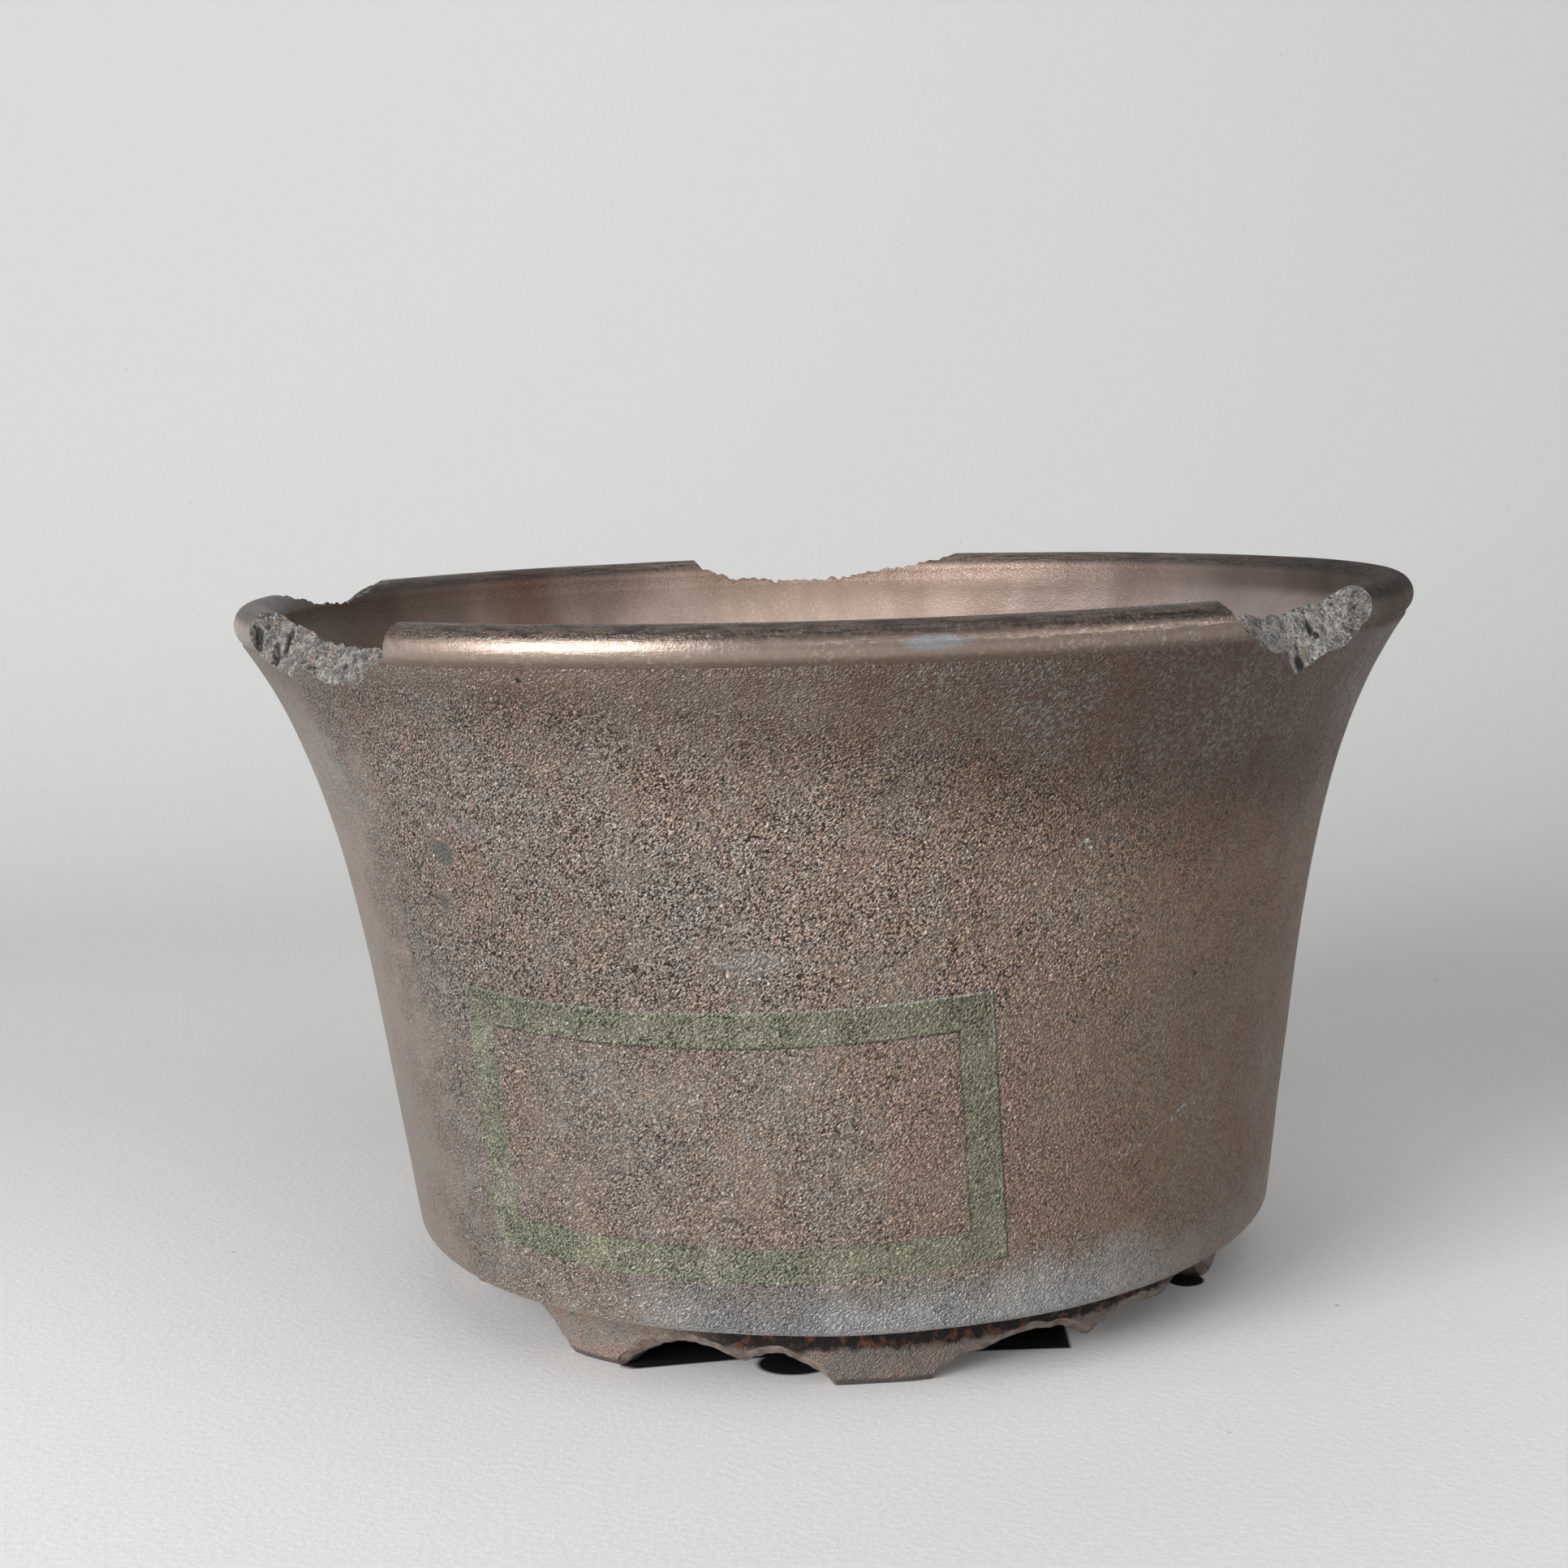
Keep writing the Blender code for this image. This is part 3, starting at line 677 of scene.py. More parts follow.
class Paint:
    """One material and short names for its nodes. Its places are the object's own, in mm."""

    def __init__(self, name):
        self.material = bpy.data.materials.new(name)
        self.material.use_nodes = True
        self.tree = self.material.node_tree
        self.shader = self.tree.nodes["Principled BSDF"]
        place = self.tree.nodes.new("ShaderNodeTexCoord").outputs["Object"]
        self.place = self.vector("SCALE", place, scale=1.0 / MM)
        self.x, self.y, self.z = self.parts(self.place)

    def node(self, kind, inputs=None, **settings):
        made = self.tree.nodes.new(kind)
        for key, value in settings.items():
            setattr(made, key, value)
        for key, value in (inputs or {}).items():
            self.feed(made.inputs[key], value)
        return made

    def feed(self, socket, value):
        if isinstance(value, bpy.types.NodeSocket):
            self.tree.links.new(value, socket)
        else:
            socket.default_value = value

    def parts(self, place):
        return self.node("ShaderNodeSeparateXYZ", {"Vector": place}).outputs

    def joined(self, x, y, z):
        return self.node("ShaderNodeCombineXYZ", {"X": x, "Y": y, "Z": z}).outputs[0]

    def maths(self, operation, *values):
        made = self.node("ShaderNodeMath", operation=operation)
        for socket, value in zip(made.inputs, values):
            self.feed(socket, value)
        return made.outputs[0]

    def folded(self, operation, values):
        total = values[0]
        for value in values[1:]:
            total = self.maths(operation, total, value)
        return total

    def times(self, *values):
        return self.folded("MULTIPLY", values)

    def plus(self, *values):
        return self.folded("ADD", values)

    def most(self, *values):
        return self.folded("MAXIMUM", values)

    def minus(self, a, b):
        return self.maths("SUBTRACT", a, b)

    def away(self, value, middle=0.0):
        """How far the value is from the middle, on either side."""
        return self.maths("ABSOLUTE", self.minus(value, middle))

    def capped(self, value):
        return self.maths("MINIMUM", value, 1.0)

    def vector(self, operation, a, b=None, scale=None):
        made = self.node("ShaderNodeVectorMath", {0: a}, operation=operation)
        if b is not None:
            self.feed(made.inputs[1], b)
        if scale is not None:
            self.feed(made.inputs["Scale"], scale)
        return made.outputs["Value" if operation in ("LENGTH", "DOT_PRODUCT") else "Vector"]

    def radius(self):
        """The distance from the axis of the pot."""
        return self.vector("LENGTH", self.vector("MULTIPLY", self.place, (1.0, 1.0, 0.0)))

    def azimuth_from(self, degrees):
        """The azimuth from that direction, in radians from -pi to pi."""
        values = {"Vector": self.place, "Angle": math.radians(-degrees)}
        turned = self.node("ShaderNodeVectorRotate", values, rotation_type="Z_AXIS").outputs[0]
        x, y, _ = self.parts(turned)
        return self.maths("ARCTAN2", y, x)

    def stretched(self, x=1.0, y=1.0, z=1.0, offset=(0.0, 0.0, 0.0)):
        """The place with each axis scaled, so that a pattern on it is drawn out along the small ones."""
        return self.vector("ADD", self.vector("MULTIPLY", self.place, (x, y, z)), offset)

    def noise(self, size, detail=2.0, rough=0.5, at=None, warp=0.0):
        """Cloudy noise from 0 to 1 with features of that size in mm."""
        values = {
            "Vector": self.place if at is None else at,
            "Scale": 1.0 / size,
            "Detail": detail,
            "Roughness": rough,
            "Distortion": warp,
        }
        return self.node("ShaderNodeTexNoise", values).outputs["Fac"]

    def cells(self, size, at=None):
        """The distance from the nearest of many scattered points, as a share of that size in mm."""
        values = {"Vector": self.place if at is None else at, "Scale": 1.0 / size}
        return self.node("ShaderNodeTexVoronoi", values).outputs["Distance"]

    def ramp(self, value, low, high, start=0.0, end=1.0):
        """start below low, end above high, and a smooth step between."""
        values = {"Value": value, "From Min": low, "From Max": high, "To Min": start, "To Max": end}
        return self.node("ShaderNodeMapRange", values, interpolation_type="SMOOTHSTEP").outputs["Result"]

    def fall(self, value, low, high):
        """1 below low, 0 above high."""
        return self.ramp(value, low, high, 1.0, 0.0)

    def blend(self, share, a, b):
        """The colour a where the share is 0, and b where it is 1."""
        made = self.node("ShaderNodeMix", data_type="RGBA")
        self.feed(made.inputs["Factor"], share)
        for socket, value in ((made.inputs[MIX_A], a), (made.inputs[MIX_B], b)):
            self.feed(socket, value if isinstance(value, bpy.types.NodeSocket) else (*value, 1.0))
        return made.outputs[MIX_RESULT]

    def tinted(self, share, colour, tint):
        """The colour multiplied by a tint, by that share."""
        return self.blend(share, colour, self.vector("MULTIPLY", colour, tint))

    def spot(self, azimuth, z, wide, high, soft=0.5, ragged=0.0):
        """A soft-edged oval on the outer wall, 1 in its middle; wide and high are its half sizes in mm."""
        offset = self.vector("SUBTRACT", self.place, tuple(polar(azimuth, wall_radius(z), z)))
        offset = self.vector("MULTIPLY", offset, (1.0 / wide, 1.0 / wide, 1.0 / high))
        distance = self.vector("LENGTH", offset)
        if ragged:
            distance = self.plus(distance, self.times(self.minus(self.noise(wide * 0.6, 3.0), 0.5), ragged))
        return self.fall(distance, 1.0 - soft, 1.0 + soft)

    def spots(self, places, soft, ragged):
        """1 in the middle of any of the ovals, each (azimuth, z, half width, half height)."""
        return self.capped(self.plus(*(self.spot(*place, soft, ragged) for place in places)))

    def stroke(self, start, end, half_width):
        """1 along the line between two points and 0 past its half width, a little taller than wide."""
        squash = Vector((1.0, 1.0, 0.6))
        line = (end - start) * squash
        offset = self.vector("MULTIPLY", self.vector("SUBTRACT", self.place, tuple(start)), tuple(squash))
        share = self.vector("DOT_PRODUCT", offset, tuple(line / line.length_squared))
        share = self.capped(self.most(share, 0.0))
        nearest = self.vector("SCALE", tuple(line), scale=share)
        away = self.vector("LENGTH", self.vector("SUBTRACT", offset, nearest))
        return self.fall(away, 0.55 * half_width, 1.1 * half_width)

    def finish(self, colour, roughness, height, metallic=0.0):
        """Wires the shader; height is in mm."""
        self.feed(self.shader.inputs["Base Color"], colour)
        self.feed(self.shader.inputs["Roughness"], roughness)
        self.feed(self.shader.inputs["Metallic"], metallic)
        bump = self.node("ShaderNodeBump", {"Height": height, "Distance": MM, "Strength": 1.0})
        self.feed(self.shader.inputs["Normal"], bump.outputs["Normal"])
        return self.material


BROWN = (0.26, 0.19, 0.155)
RUST = (0.42, 0.26, 0.18)
GREY = (0.25, 0.222, 0.195)
BLUE_GREY = (0.31, 0.305, 0.294)
FLECK = (0.27, 0.285, 0.27)
DARK_BROWN = (0.03, 0.018, 0.012)
# IRON_BLACK_AND_SHADE is also used as painted shade on the frame's edges and inside the foot ring
IRON_BLACK_AND_SHADE = (0.022, 0.016, 0.014)
COPPER = (0.265, 0.203, 0.166)
PALE_RUB = (0.46, 0.43, 0.40)
GREEN = (0.262, 0.268, 0.178)
PALE_GREEN = (0.52, 0.53, 0.40)
DARK_GREEN = (0.035, 0.04, 0.025)
WORN_GREEN_AND_HIGHLIGHT = (0.62, 0.63, 0.58)
INNER_TAN = (0.36, 0.28, 0.24)
INNER_BROWN = (0.24, 0.175, 0.145)
RING_GREY = (0.19, 0.195, 0.195)
RING_IRON_AND_SHADOW = (0.008, 0.006, 0.005)
RING_RUST = (0.16, 0.055, 0.03)
RING_SOLE = (0.06, 0.05, 0.045)
STONE_DARK, STONE_PALE = (0.11, 0.107, 0.101), (0.315, 0.305, 0.29)
STONE_CRYSTAL = (0.6, 0.58, 0.54)
STONE_WARM = (0.36, 0.27, 0.20)
STONE_CRUMB = (0.025, 0.025, 0.025)
STONE_SPECK = (0.012, 0.012, 0.012)
STONE_FOLD = (0.03, 0.03, 0.03)
STONE_CRACK_SHADE = (0.006, 0.007, 0.007)

# How far the grain stands out where it is strongest, in mm.
GRAIN_DEPTH = 1.5

# Marks on the outside, as (azimuth, z, half width, half height).
SMUDGES = [(-132.1, 63.6, 1.7, 1.5), (-133.9, 57.4, 0.8, 0.9)]
PALE_PATCHES = [(-97.8, 52.5, 4.0, 1.3), (-128.0, 67.0, 2.2, 1.2)]
BLUE_SPOT = (-81.3, 87.3, 3.3, 0.75)
PINHOLES = [
    (-115.3, 84.2, 0.36, 0.34),
    (-82.4, 18.2, 0.26, 0.24),
    (-77.0, 76.5, 0.28, 0.28),
    (-78.0, 61.0, 0.22, 0.22),
]
NICKS = [(-65.0, 64.2, 0.3, 0.26), (-64.5, 63.4, 0.32, 0.14)]
SMUDGE_GREY = (0.14, 0.145, 0.145)
PATCH_GREY = (0.40, 0.41, 0.42)
SPOT_BLUE = (0.25, 0.29, 0.31)
NICK_WHITE = (0.62, 0.62, 0.60)
SCRATCH_GREY = (0.45, 0.45, 0.44)

# One thin scratch, from and to (azimuth, radius, z).
SCRATCH = ((-58.4, 58.5, 25.9), (-45.9, 59.0, 30.6))

# The painted frame lies flat on the cone of the wall. Its sizes are in mm, its place in degrees and mm.
FRAME_AZIMUTH = -103.6
FRAME_Z = 31.0
FRAME_HALF_WIDTH = 32.0
FRAME_HALF_HEIGHT = 15.95
FRAME_BAR = 4.15
FRAME_TILT = math.radians(0.6)
CONE_SINE = math.sin(math.radians(7.6))


class WallPlace:
    """Where a point is on the pot, as values for its glaze. Azimuths are in radians from the front."""

    def __init__(self, paint):
        self.azimuth = paint.azimuth_from(-90.0)
        self.radius = paint.radius()
        self.distance = paint.times(self.azimuth, self.radius)
        along = paint.times(paint.plus(self.distance, paint.z), 0.5)
        across = paint.times(paint.minus(self.distance, paint.z), 0.75)
        self.leaning = paint.joined(along, across, self.radius)


class BodyPlace(WallPlace):
    """The same, with the parts of the body: inside, outside, lip and back, and patches that vary them."""

    def __init__(self, paint):
        super().__init__(paint)
        self.level = paint.plus(paint.z, paint.times(paint.x, RIM_LEAN / LIP_CENTRE_R))
        rise = paint.times(paint.most(paint.minus(paint.z, WALL_FOOT_Z), 0.0), 1.0 / FLARE_HEIGHT)
        flare = paint.times(paint.maths("POWER", rise, FLARE_POWER), FLARE)
        wall = paint.plus(paint.times(rise, WALL_TAPER * FLARE_HEIGHT), flare, WALL_FOOT_RADIUS)
        self.inside = paint.ramp(paint.minus(wall, self.radius), 1.9, 3.3)
        self.outside = paint.minus(1.0, self.inside)
        self.inner_wall = paint.ramp(self.radius, 24.0, 52.0)
        self.lip = paint.times(paint.ramp(self.level, 84.9, 85.6), self.outside)
        self.back = paint.ramp(paint.away(self.azimuth), 1.7, 2.7)
        self.front = paint.minus(1.0, self.back)
        self.patches = paint.noise(6.5, 3.0, 0.6)
        self.wander = paint.times(paint.minus(self.patches, 0.5), 6.0)
        to_back = paint.ramp(self.azimuth, 1.7, 3.0, 11.0, 0.0)
        self.lower_right = paint.times(paint.ramp(self.azimuth, -0.6, 0.8), to_back)


def grain_of(paint, leaning):
    """Height of the crinkled grain from about -0.3 to 1, and its coarser part alone."""
    crinkle = paint.noise(0.23, 1.0, 0.5, at=leaning)
    coarse = paint.noise(0.5, 2.0, 0.6, at=leaning)
    pebbles = paint.cells(0.34, at=leaning)
    grain = paint.plus(paint.ramp(crinkle, 0.3, 0.62), paint.times(coarse, 0.6), paint.times(pebbles, -0.7))
    return grain, coarse


def mottled(paint):
    """Brown glaze that drifts to grey, with rusty and blue-grey flecks. Also the noises that it drifts by."""
    mottle = paint.noise(1.6, 4.0, 0.62)
    clouds = paint.noise(9.0, 3.0, 0.55, at=paint.stretched(z=0.55))
    streaks = paint.noise(5.0, 4.0, 0.6, at=paint.stretched(z=0.18))
    mixed = paint.plus(paint.times(mottle, 0.4), paint.times(clouds, 0.4), paint.times(streaks, 0.2))
    colour = paint.blend(paint.ramp(mixed, 0.38, 0.62), BROWN, GREY)
    rusty = paint.ramp(paint.noise(0.45, 3.0, 0.6, at=paint.stretched(offset=(40.0, 0.0, 0.0))), 0.5, 0.72)
    colour = paint.blend(paint.times(rusty, 0.55), colour, RUST)
    bluish = paint.ramp(paint.noise(0.55, 3.0, 0.65, at=paint.stretched(offset=(0.0, 60.0, 0.0))), 0.5, 0.7)
    colour = paint.blend(paint.times(bluish, 0.5), colour, BLUE_GREY)
    return colour, mottle, clouds


def grain_strength(paint, where):
    """How strong the grain is: most on the front, less at the sides, the foot and the lip."""
    smooth_edge = paint.plus(where.level, where.wander, where.lower_right)
    under_lip = paint.ramp(smooth_edge, 80.0, 85.5, 1.0, 0.15)
    to_right = paint.ramp(paint.plus(where.azimuth, paint.times(where.wander, 0.06)), 0.0, 0.95, 1.0, 0.4)
    to_right = paint.plus(to_right, paint.times(where.back, paint.minus(0.6, to_right)))
    to_left = paint.ramp(paint.plus(where.azimuth, paint.times(where.wander, 0.05)), -1.1, -0.72, 0.12, 1.0)
    to_left = paint.plus(to_left, paint.times(where.back, paint.minus(0.4, to_left)))
    at_foot = paint.ramp(paint.plus(paint.z, where.wander), 10.0, 16.0, 0.6, 1.0)
    low = paint.ramp(paint.z, 41.0, 49.0, 0.66, 1.0)
    patchy = paint.ramp(where.patches, 0.38, 0.58, 0.5, 1.0)
    off_lip = paint.minus(1.0, where.lip)
    strength = paint.times(under_lip, to_right, to_left, at_foot, low, patchy, where.outside, off_lip)
    return paint.plus(strength, paint.ramp(where.lip, 0.0, 1.0, 0.03, 0.004))


def wall_tones(paint, where, colour, clouds, strength):
    """Uneven grains, browner under the lip and on the right, with painted shade under the lip, greyer on the
    left, blue-grey at the foot.
    """
    azimuth, outside, front = where.azimuth, where.outside, where.front
    light = paint.noise(0.25, 1.0, 0.5, at=paint.vector("ADD", where.leaning, (9.0, 0.0, 0.0)))
    bright = paint.ramp(light, 0.3, 0.7, 0.65, 3.0)
    colour = paint.blend(strength, colour, paint.vector("SCALE", colour, scale=bright))

    # painted shade under the lip, over a browner, smoother glaze there
    tone_edge = paint.plus(where.level, paint.times(where.wander, 0.6), paint.times(where.lower_right, 1.35))
    smooth_top_and_shade = paint.times(paint.ramp(tone_edge, 70.0, 90.0), outside)
    colour = paint.tinted(smooth_top_and_shade, colour, (0.44, 0.365, 0.325))
    top_right = paint.times(smooth_top_and_shade, paint.ramp(azimuth, -0.1, 0.25), front)
    colour = paint.tinted(top_right, colour, (0.84, 0.82, 0.80))
    right = paint.times(paint.ramp(azimuth, -0.3, 0.75), outside, front)
    colour = paint.tinted(right, colour, (0.70, 0.54, 0.42))
    colour = paint.tinted(paint.times(right, paint.fall(paint.z, 35.0, 60.0)), colour, (0.86, 0.85, 0.83))
    upward = paint.ramp(paint.z, 20.0, 60.0, 1.0, 0.75)
    left = paint.times(paint.fall(azimuth, -1.05, -0.65), upward, outside, front)
    colour = paint.tinted(left, colour, (0.68, 0.685, 0.675))

    fine = paint.noise(0.42, 2.0, 0.6, at=paint.vector("ADD", where.leaning, (0.0, 17.0, 0.0)))
    flecks = paint.times(paint.ramp(fine, 0.47, 0.62), paint.ramp(clouds, 0.35, 0.6, 0.35, 1.0), outside)
    smooth = paint.most(smooth_top_and_shade, paint.times(paint.ramp(azimuth, 0.1, 0.7), front))
    colour = paint.blend(paint.times(flecks, smooth, 0.4), colour, FLECK)

    foot_band = paint.fall(paint.plus(paint.z, paint.times(clouds, 14.0)), 18.5, 25.0)
    blue_left = paint.ramp(azimuth, -0.52, -0.28)
    blue_right = paint.times(paint.ramp(azimuth, 0.45, 0.9, 1.0, 0.25), front)
    return paint.blend(paint.times(foot_band, blue_left, blue_right, outside), colour, BLUE_GREY)


def inner_tones(paint, where):
    """The inside: paler and pinker, with streaks that run down, darker towards the lip, painted light at the
    back and painted shade on the left.
    """
    runs = paint.noise(7.0, 2.0, 0.5, at=paint.stretched(z=0.12))
    inner = paint.blend(paint.ramp(runs, 0.2, 0.8), INNER_BROWN, INNER_TAN)
    inner = paint.tinted(paint.ramp(where.level, 78.0, 87.0, 0.0, 0.8), inner, (0.52, 0.47, 0.43))
    from_back = paint.away(paint.away(where.azimuth), math.pi - 0.12)
    painted_light_at_back = paint.fall(from_back, 0.1, 0.55)
    painted_shade_at_left = paint.fall(paint.away(where.azimuth, -1.7), 0.2, 0.62)
    at_right = paint.fall(paint.away(where.azimuth, 1.9), 0.3, 0.7)
    rusty_run = paint.fall(paint.away(where.azimuth, -2.42), 0.02, 0.13)
    # painted light brightens the back of the inner wall and painted shade darkens its left
    tints = [
        (painted_light_at_back, (1.7, 1.7, 1.7)),
        (painted_shade_at_left, (0.44, 0.385, 0.30)),
        (at_right, (1.05, 1.14, 1.24)),
        (rusty_run, (0.72, 0.58, 0.46)),
    ]
    for share, tint in tints:
        inner = paint.tinted(paint.times(share, where.inner_wall), inner, tint)
    return inner


def lip_tones(paint, where, colour):
    """The lip: black on top with turned lines, and below a lighter band, partly worn glaze and partly painted
    highlight, over a crease with painted shade. Also the shares of its parts.
    """
    azimuth, level, lip = where.azimuth, where.level, where.lip
    lines = paint.noise(0.3, 3.0, 0.6, at=paint.joined(paint.times(where.distance, 0.07), level, 0.0))
    rub = paint.noise(0.55, 4.0, 0.7)
    colour = paint.blend(paint.times(lip, 0.75), colour, COPPER)
    # painted highlight: the lip is lighter in a band where the highlight falls, partly worn glaze, and duller
    # above and below it
    upper_edge = paint.plus(level, paint.times(rub, 0.8))
    worn_and_highlight_band = paint.times(paint.ramp(level, 85.6, 86.6), paint.ramp(upper_edge, 88.9, 87.9))
    dull = paint.times(lip, paint.minus(1.0, worn_and_highlight_band), paint.ramp(azimuth, -0.4, 0.2, 0.45, 0.8))
    colour = paint.tinted(dull, colour, (0.66, 0.59, 0.54))
    rubbed = paint.times(paint.ramp(rub, 0.5, 0.68), paint.ramp(where.patches, 0.4, 0.6, 0.25, 1.0))
    colour = paint.blend(paint.times(rubbed, lip, 0.5), colour, PALE_RUB)
    # painted shade: a dark line in the crease under the lip
    crease_shade = paint.fall(paint.away(level, 85.5), 0.1, 0.9)
    crease_shade = paint.times(crease_shade, where.outside, paint.ramp(azimuth, 0.5, 1.0, 0.35, 0.1))
    colour = paint.blend(crease_shade, colour, DARK_BROWN)
    worn = paint.ramp(paint.plus(lines, paint.times(rub, 0.6)), 0.62, 0.95, 0.97, 0.45)
    crest = paint.times(paint.ramp(paint.plus(level, lines), 88.2, 89.1), worn)
    colour = paint.blend(crest, colour, IRON_BLACK_AND_SHADE)
    dull_end = paint.times(paint.ramp(azimuth, 0.75, 1.1), paint.ramp(level, 84.0, 86.0), where.front)
    colour = paint.tinted(dull_end, colour, (0.33, 0.30, 0.26))
    return colour, lines, crest, dull_end


def marked(paint, colour):
    """The colour with the marks of use, and the pinholes' share."""
    for place in SMUDGES:
        colour = paint.blend(paint.times(paint.spot(*place, 0.35, 1.2), 0.85), colour, SMUDGE_GREY)
    for place in PALE_PATCHES:
        colour = paint.blend(paint.times(paint.spot(*place, 0.6, 1.4), 0.2), colour, PATCH_GREY)
    colour = paint.blend(paint.times(paint.spot(*BLUE_SPOT, 0.35, 0.9), 0.6), colour, SPOT_BLUE)
    holes = paint.spots(PINHOLES, 0.3, 0.4)
    colour = paint.blend(holes, colour, IRON_BLACK_AND_SHADE)
    colour = paint.blend(paint.spots(NICKS, 0.3, 0.5), colour, NICK_WHITE)
    start, end = SCRATCH
    scratch = paint.times(paint.stroke(polar(*start), polar(*end), 0.5), 0.7)
    scratch = paint.times(scratch, paint.ramp(paint.noise(0.5, 2.0), 0.56, 0.64))
    return paint.blend(scratch, colour, SCRATCH_GREY), holes


def frame_place(paint):
    """The painted frame's mask, the distances from its outer and inner edges, and x and y on it, in mm."""
    azimuth = paint.azimuth_from(FRAME_AZIMUTH)
    across = paint.times(paint.radius(), azimuth)
    sag = paint.times(across, azimuth, 0.5 * CONE_SINE)
    up = paint.minus(paint.minus(paint.z, FRAME_Z), sag)
    wobble = paint.times(paint.minus(paint.noise(2.2, 3.0), 0.5), 0.3)
    flat_x = paint.plus(across, paint.times(up, math.sin(FRAME_TILT)), wobble)
    flat_y = paint.plus(up, paint.times(across, -math.sin(FRAME_TILT)), wobble)

    def inset(by):
        side = paint.minus(paint.away(flat_x), FRAME_HALF_WIDTH - by)
        end = paint.minus(paint.away(flat_y), FRAME_HALF_HEIGHT - by)
        return paint.most(side, end)

    outer, inner = inset(0.0), inset(FRAME_BAR)
    front = paint.fall(paint.away(azimuth), 1.0, 1.05)
    mask = paint.times(paint.fall(outer, -0.05, 0.05), paint.ramp(inner, -0.05, 0.05), front)
    return mask, outer, inner, flat_x, flat_y


def frame_painted(paint, where, colour, dark, coarse):
    """The colour with the green frame: a pale edge above, partly worn paint and partly painted highlight, and
    dark lines of painted shade at its edges. Also its mask.
    """
    mask, outer, inner, flat_x, flat_y = frame_place(paint)
    mask = paint.times(mask, where.outside)
    fleck = paint.ramp(paint.noise(0.3, 2.0, 0.6, at=where.leaning), 0.45, 0.66)
    green = paint.blend(paint.times(fleck, 0.7), GREEN, PALE_GREEN)
    green = paint.tinted(paint.ramp(flat_x, 0.0, 32.0), green, (0.72, 0.70, 0.64))
    green = paint.blend(paint.times(dark, 1.15), green, DARK_GREEN)
    colour = paint.blend(paint.times(mask, 0.94), colour, green)

    broken = paint.ramp(coarse, 0.4, 0.55, 0.3, 1.0)
    # a pale line along the top edge: partly worn paint, partly painted highlight
    worn = paint.times(mask, paint.ramp(flat_y, 8.0, 10.0), paint.ramp(outer, -0.36, -0.16), broken)
    worn = paint.times(worn, paint.ramp(flat_x, 8.0, 32.0, 0.35, 1.0))
    colour = paint.blend(paint.times(worn, 0.85), colour, WORN_GREEN_AND_HIGHLIGHT)

    # painted shade: dark lines along the frame's edges
    near_inner = paint.times(paint.fall(paint.away(inner), 0.06, 0.2), broken, where.outside)
    above = paint.ramp(flat_y, 9.0, 11.0)
    right = paint.ramp(flat_x, 24.0, 27.0)
    below = paint.times(paint.ramp(flat_y, -9.0, -11.0), 0.3)
    inner_edge_shade = paint.times(near_inner, paint.most(above, right, below))
    colour = paint.blend(paint.times(inner_edge_shade, 0.75), colour, IRON_BLACK_AND_SHADE)
    near_outer = paint.times(paint.fall(paint.away(outer), 0.08, 0.22), where.outside)
    outer_edge_shade = paint.times(near_outer, paint.ramp(flat_x, 29.0, 31.0))
    return paint.blend(paint.times(outer_edge_shade, 0.6), colour, IRON_BLACK_AND_SHADE), mask


def body_glaze(name):
    """Brown metallic glaze of the pot: crinkled at the front, smooth under the lip, paler inside."""
    paint = Paint(name)
    where = BodyPlace(paint)
    grain, coarse = grain_of(paint, where.leaning)
    colour, mottle, clouds = mottled(paint)
    strength = grain_strength(paint, where)
    colour = wall_tones(paint, where, colour, clouds, strength)
    colour = paint.blend(where.inside, colour, inner_tones(paint, where))

    # darker glaze and painted shade in the hollows between the grains, and dark pits in clusters
    hollow_shade = paint.times(paint.fall(grain, 0.0, 0.42), strength, 1.25)
    cluster = paint.ramp(paint.noise(3.2, 3.0, 0.6, at=paint.stretched(offset=(0.0, 0.0, 90.0))), 0.5, 0.66)
    pit = paint.times(paint.fall(coarse, 0.36, 0.44), paint.plus(cluster, 0.2), strength)
    dark = paint.capped(paint.plus(hollow_shade, pit))
    colour = paint.blend(dark, colour, DARK_BROWN)

    colour, lines, crest, dull_end = lip_tones(paint, where, colour)
    colour, holes = marked(paint, colour)
    colour, mask = frame_painted(paint, where, colour, dark, coarse)

    peel_depth = paint.ramp(where.lip, 0.0, 1.0, 0.09, 0.025)
    orange_peel = paint.times(paint.minus(paint.noise(0.9, 3.0, 0.55), 0.5), peel_depth)
    turned_lines = paint.times(lines, paint.plus(crest, paint.times(where.lip, 0.35)), 0.12)
    relief = paint.plus(paint.times(grain, strength, GRAIN_DEPTH), orange_peel, turned_lines)
    relief = paint.plus(relief, paint.times(mask, 0.08), paint.times(holes, -0.5))
    roughness = paint.plus(0.40, paint.times(paint.minus(mottle, 0.5), 0.3), paint.times(dark, 0.25))
    roughness = paint.plus(roughness, paint.times(where.lip, -0.12), paint.times(dull_end, 0.4))
    metallic = paint.ramp(paint.minus(where.lip, mask), -1.0, 1.0, 0.1, 0.6)
    return paint.finish(colour, roughness, relief, metallic)


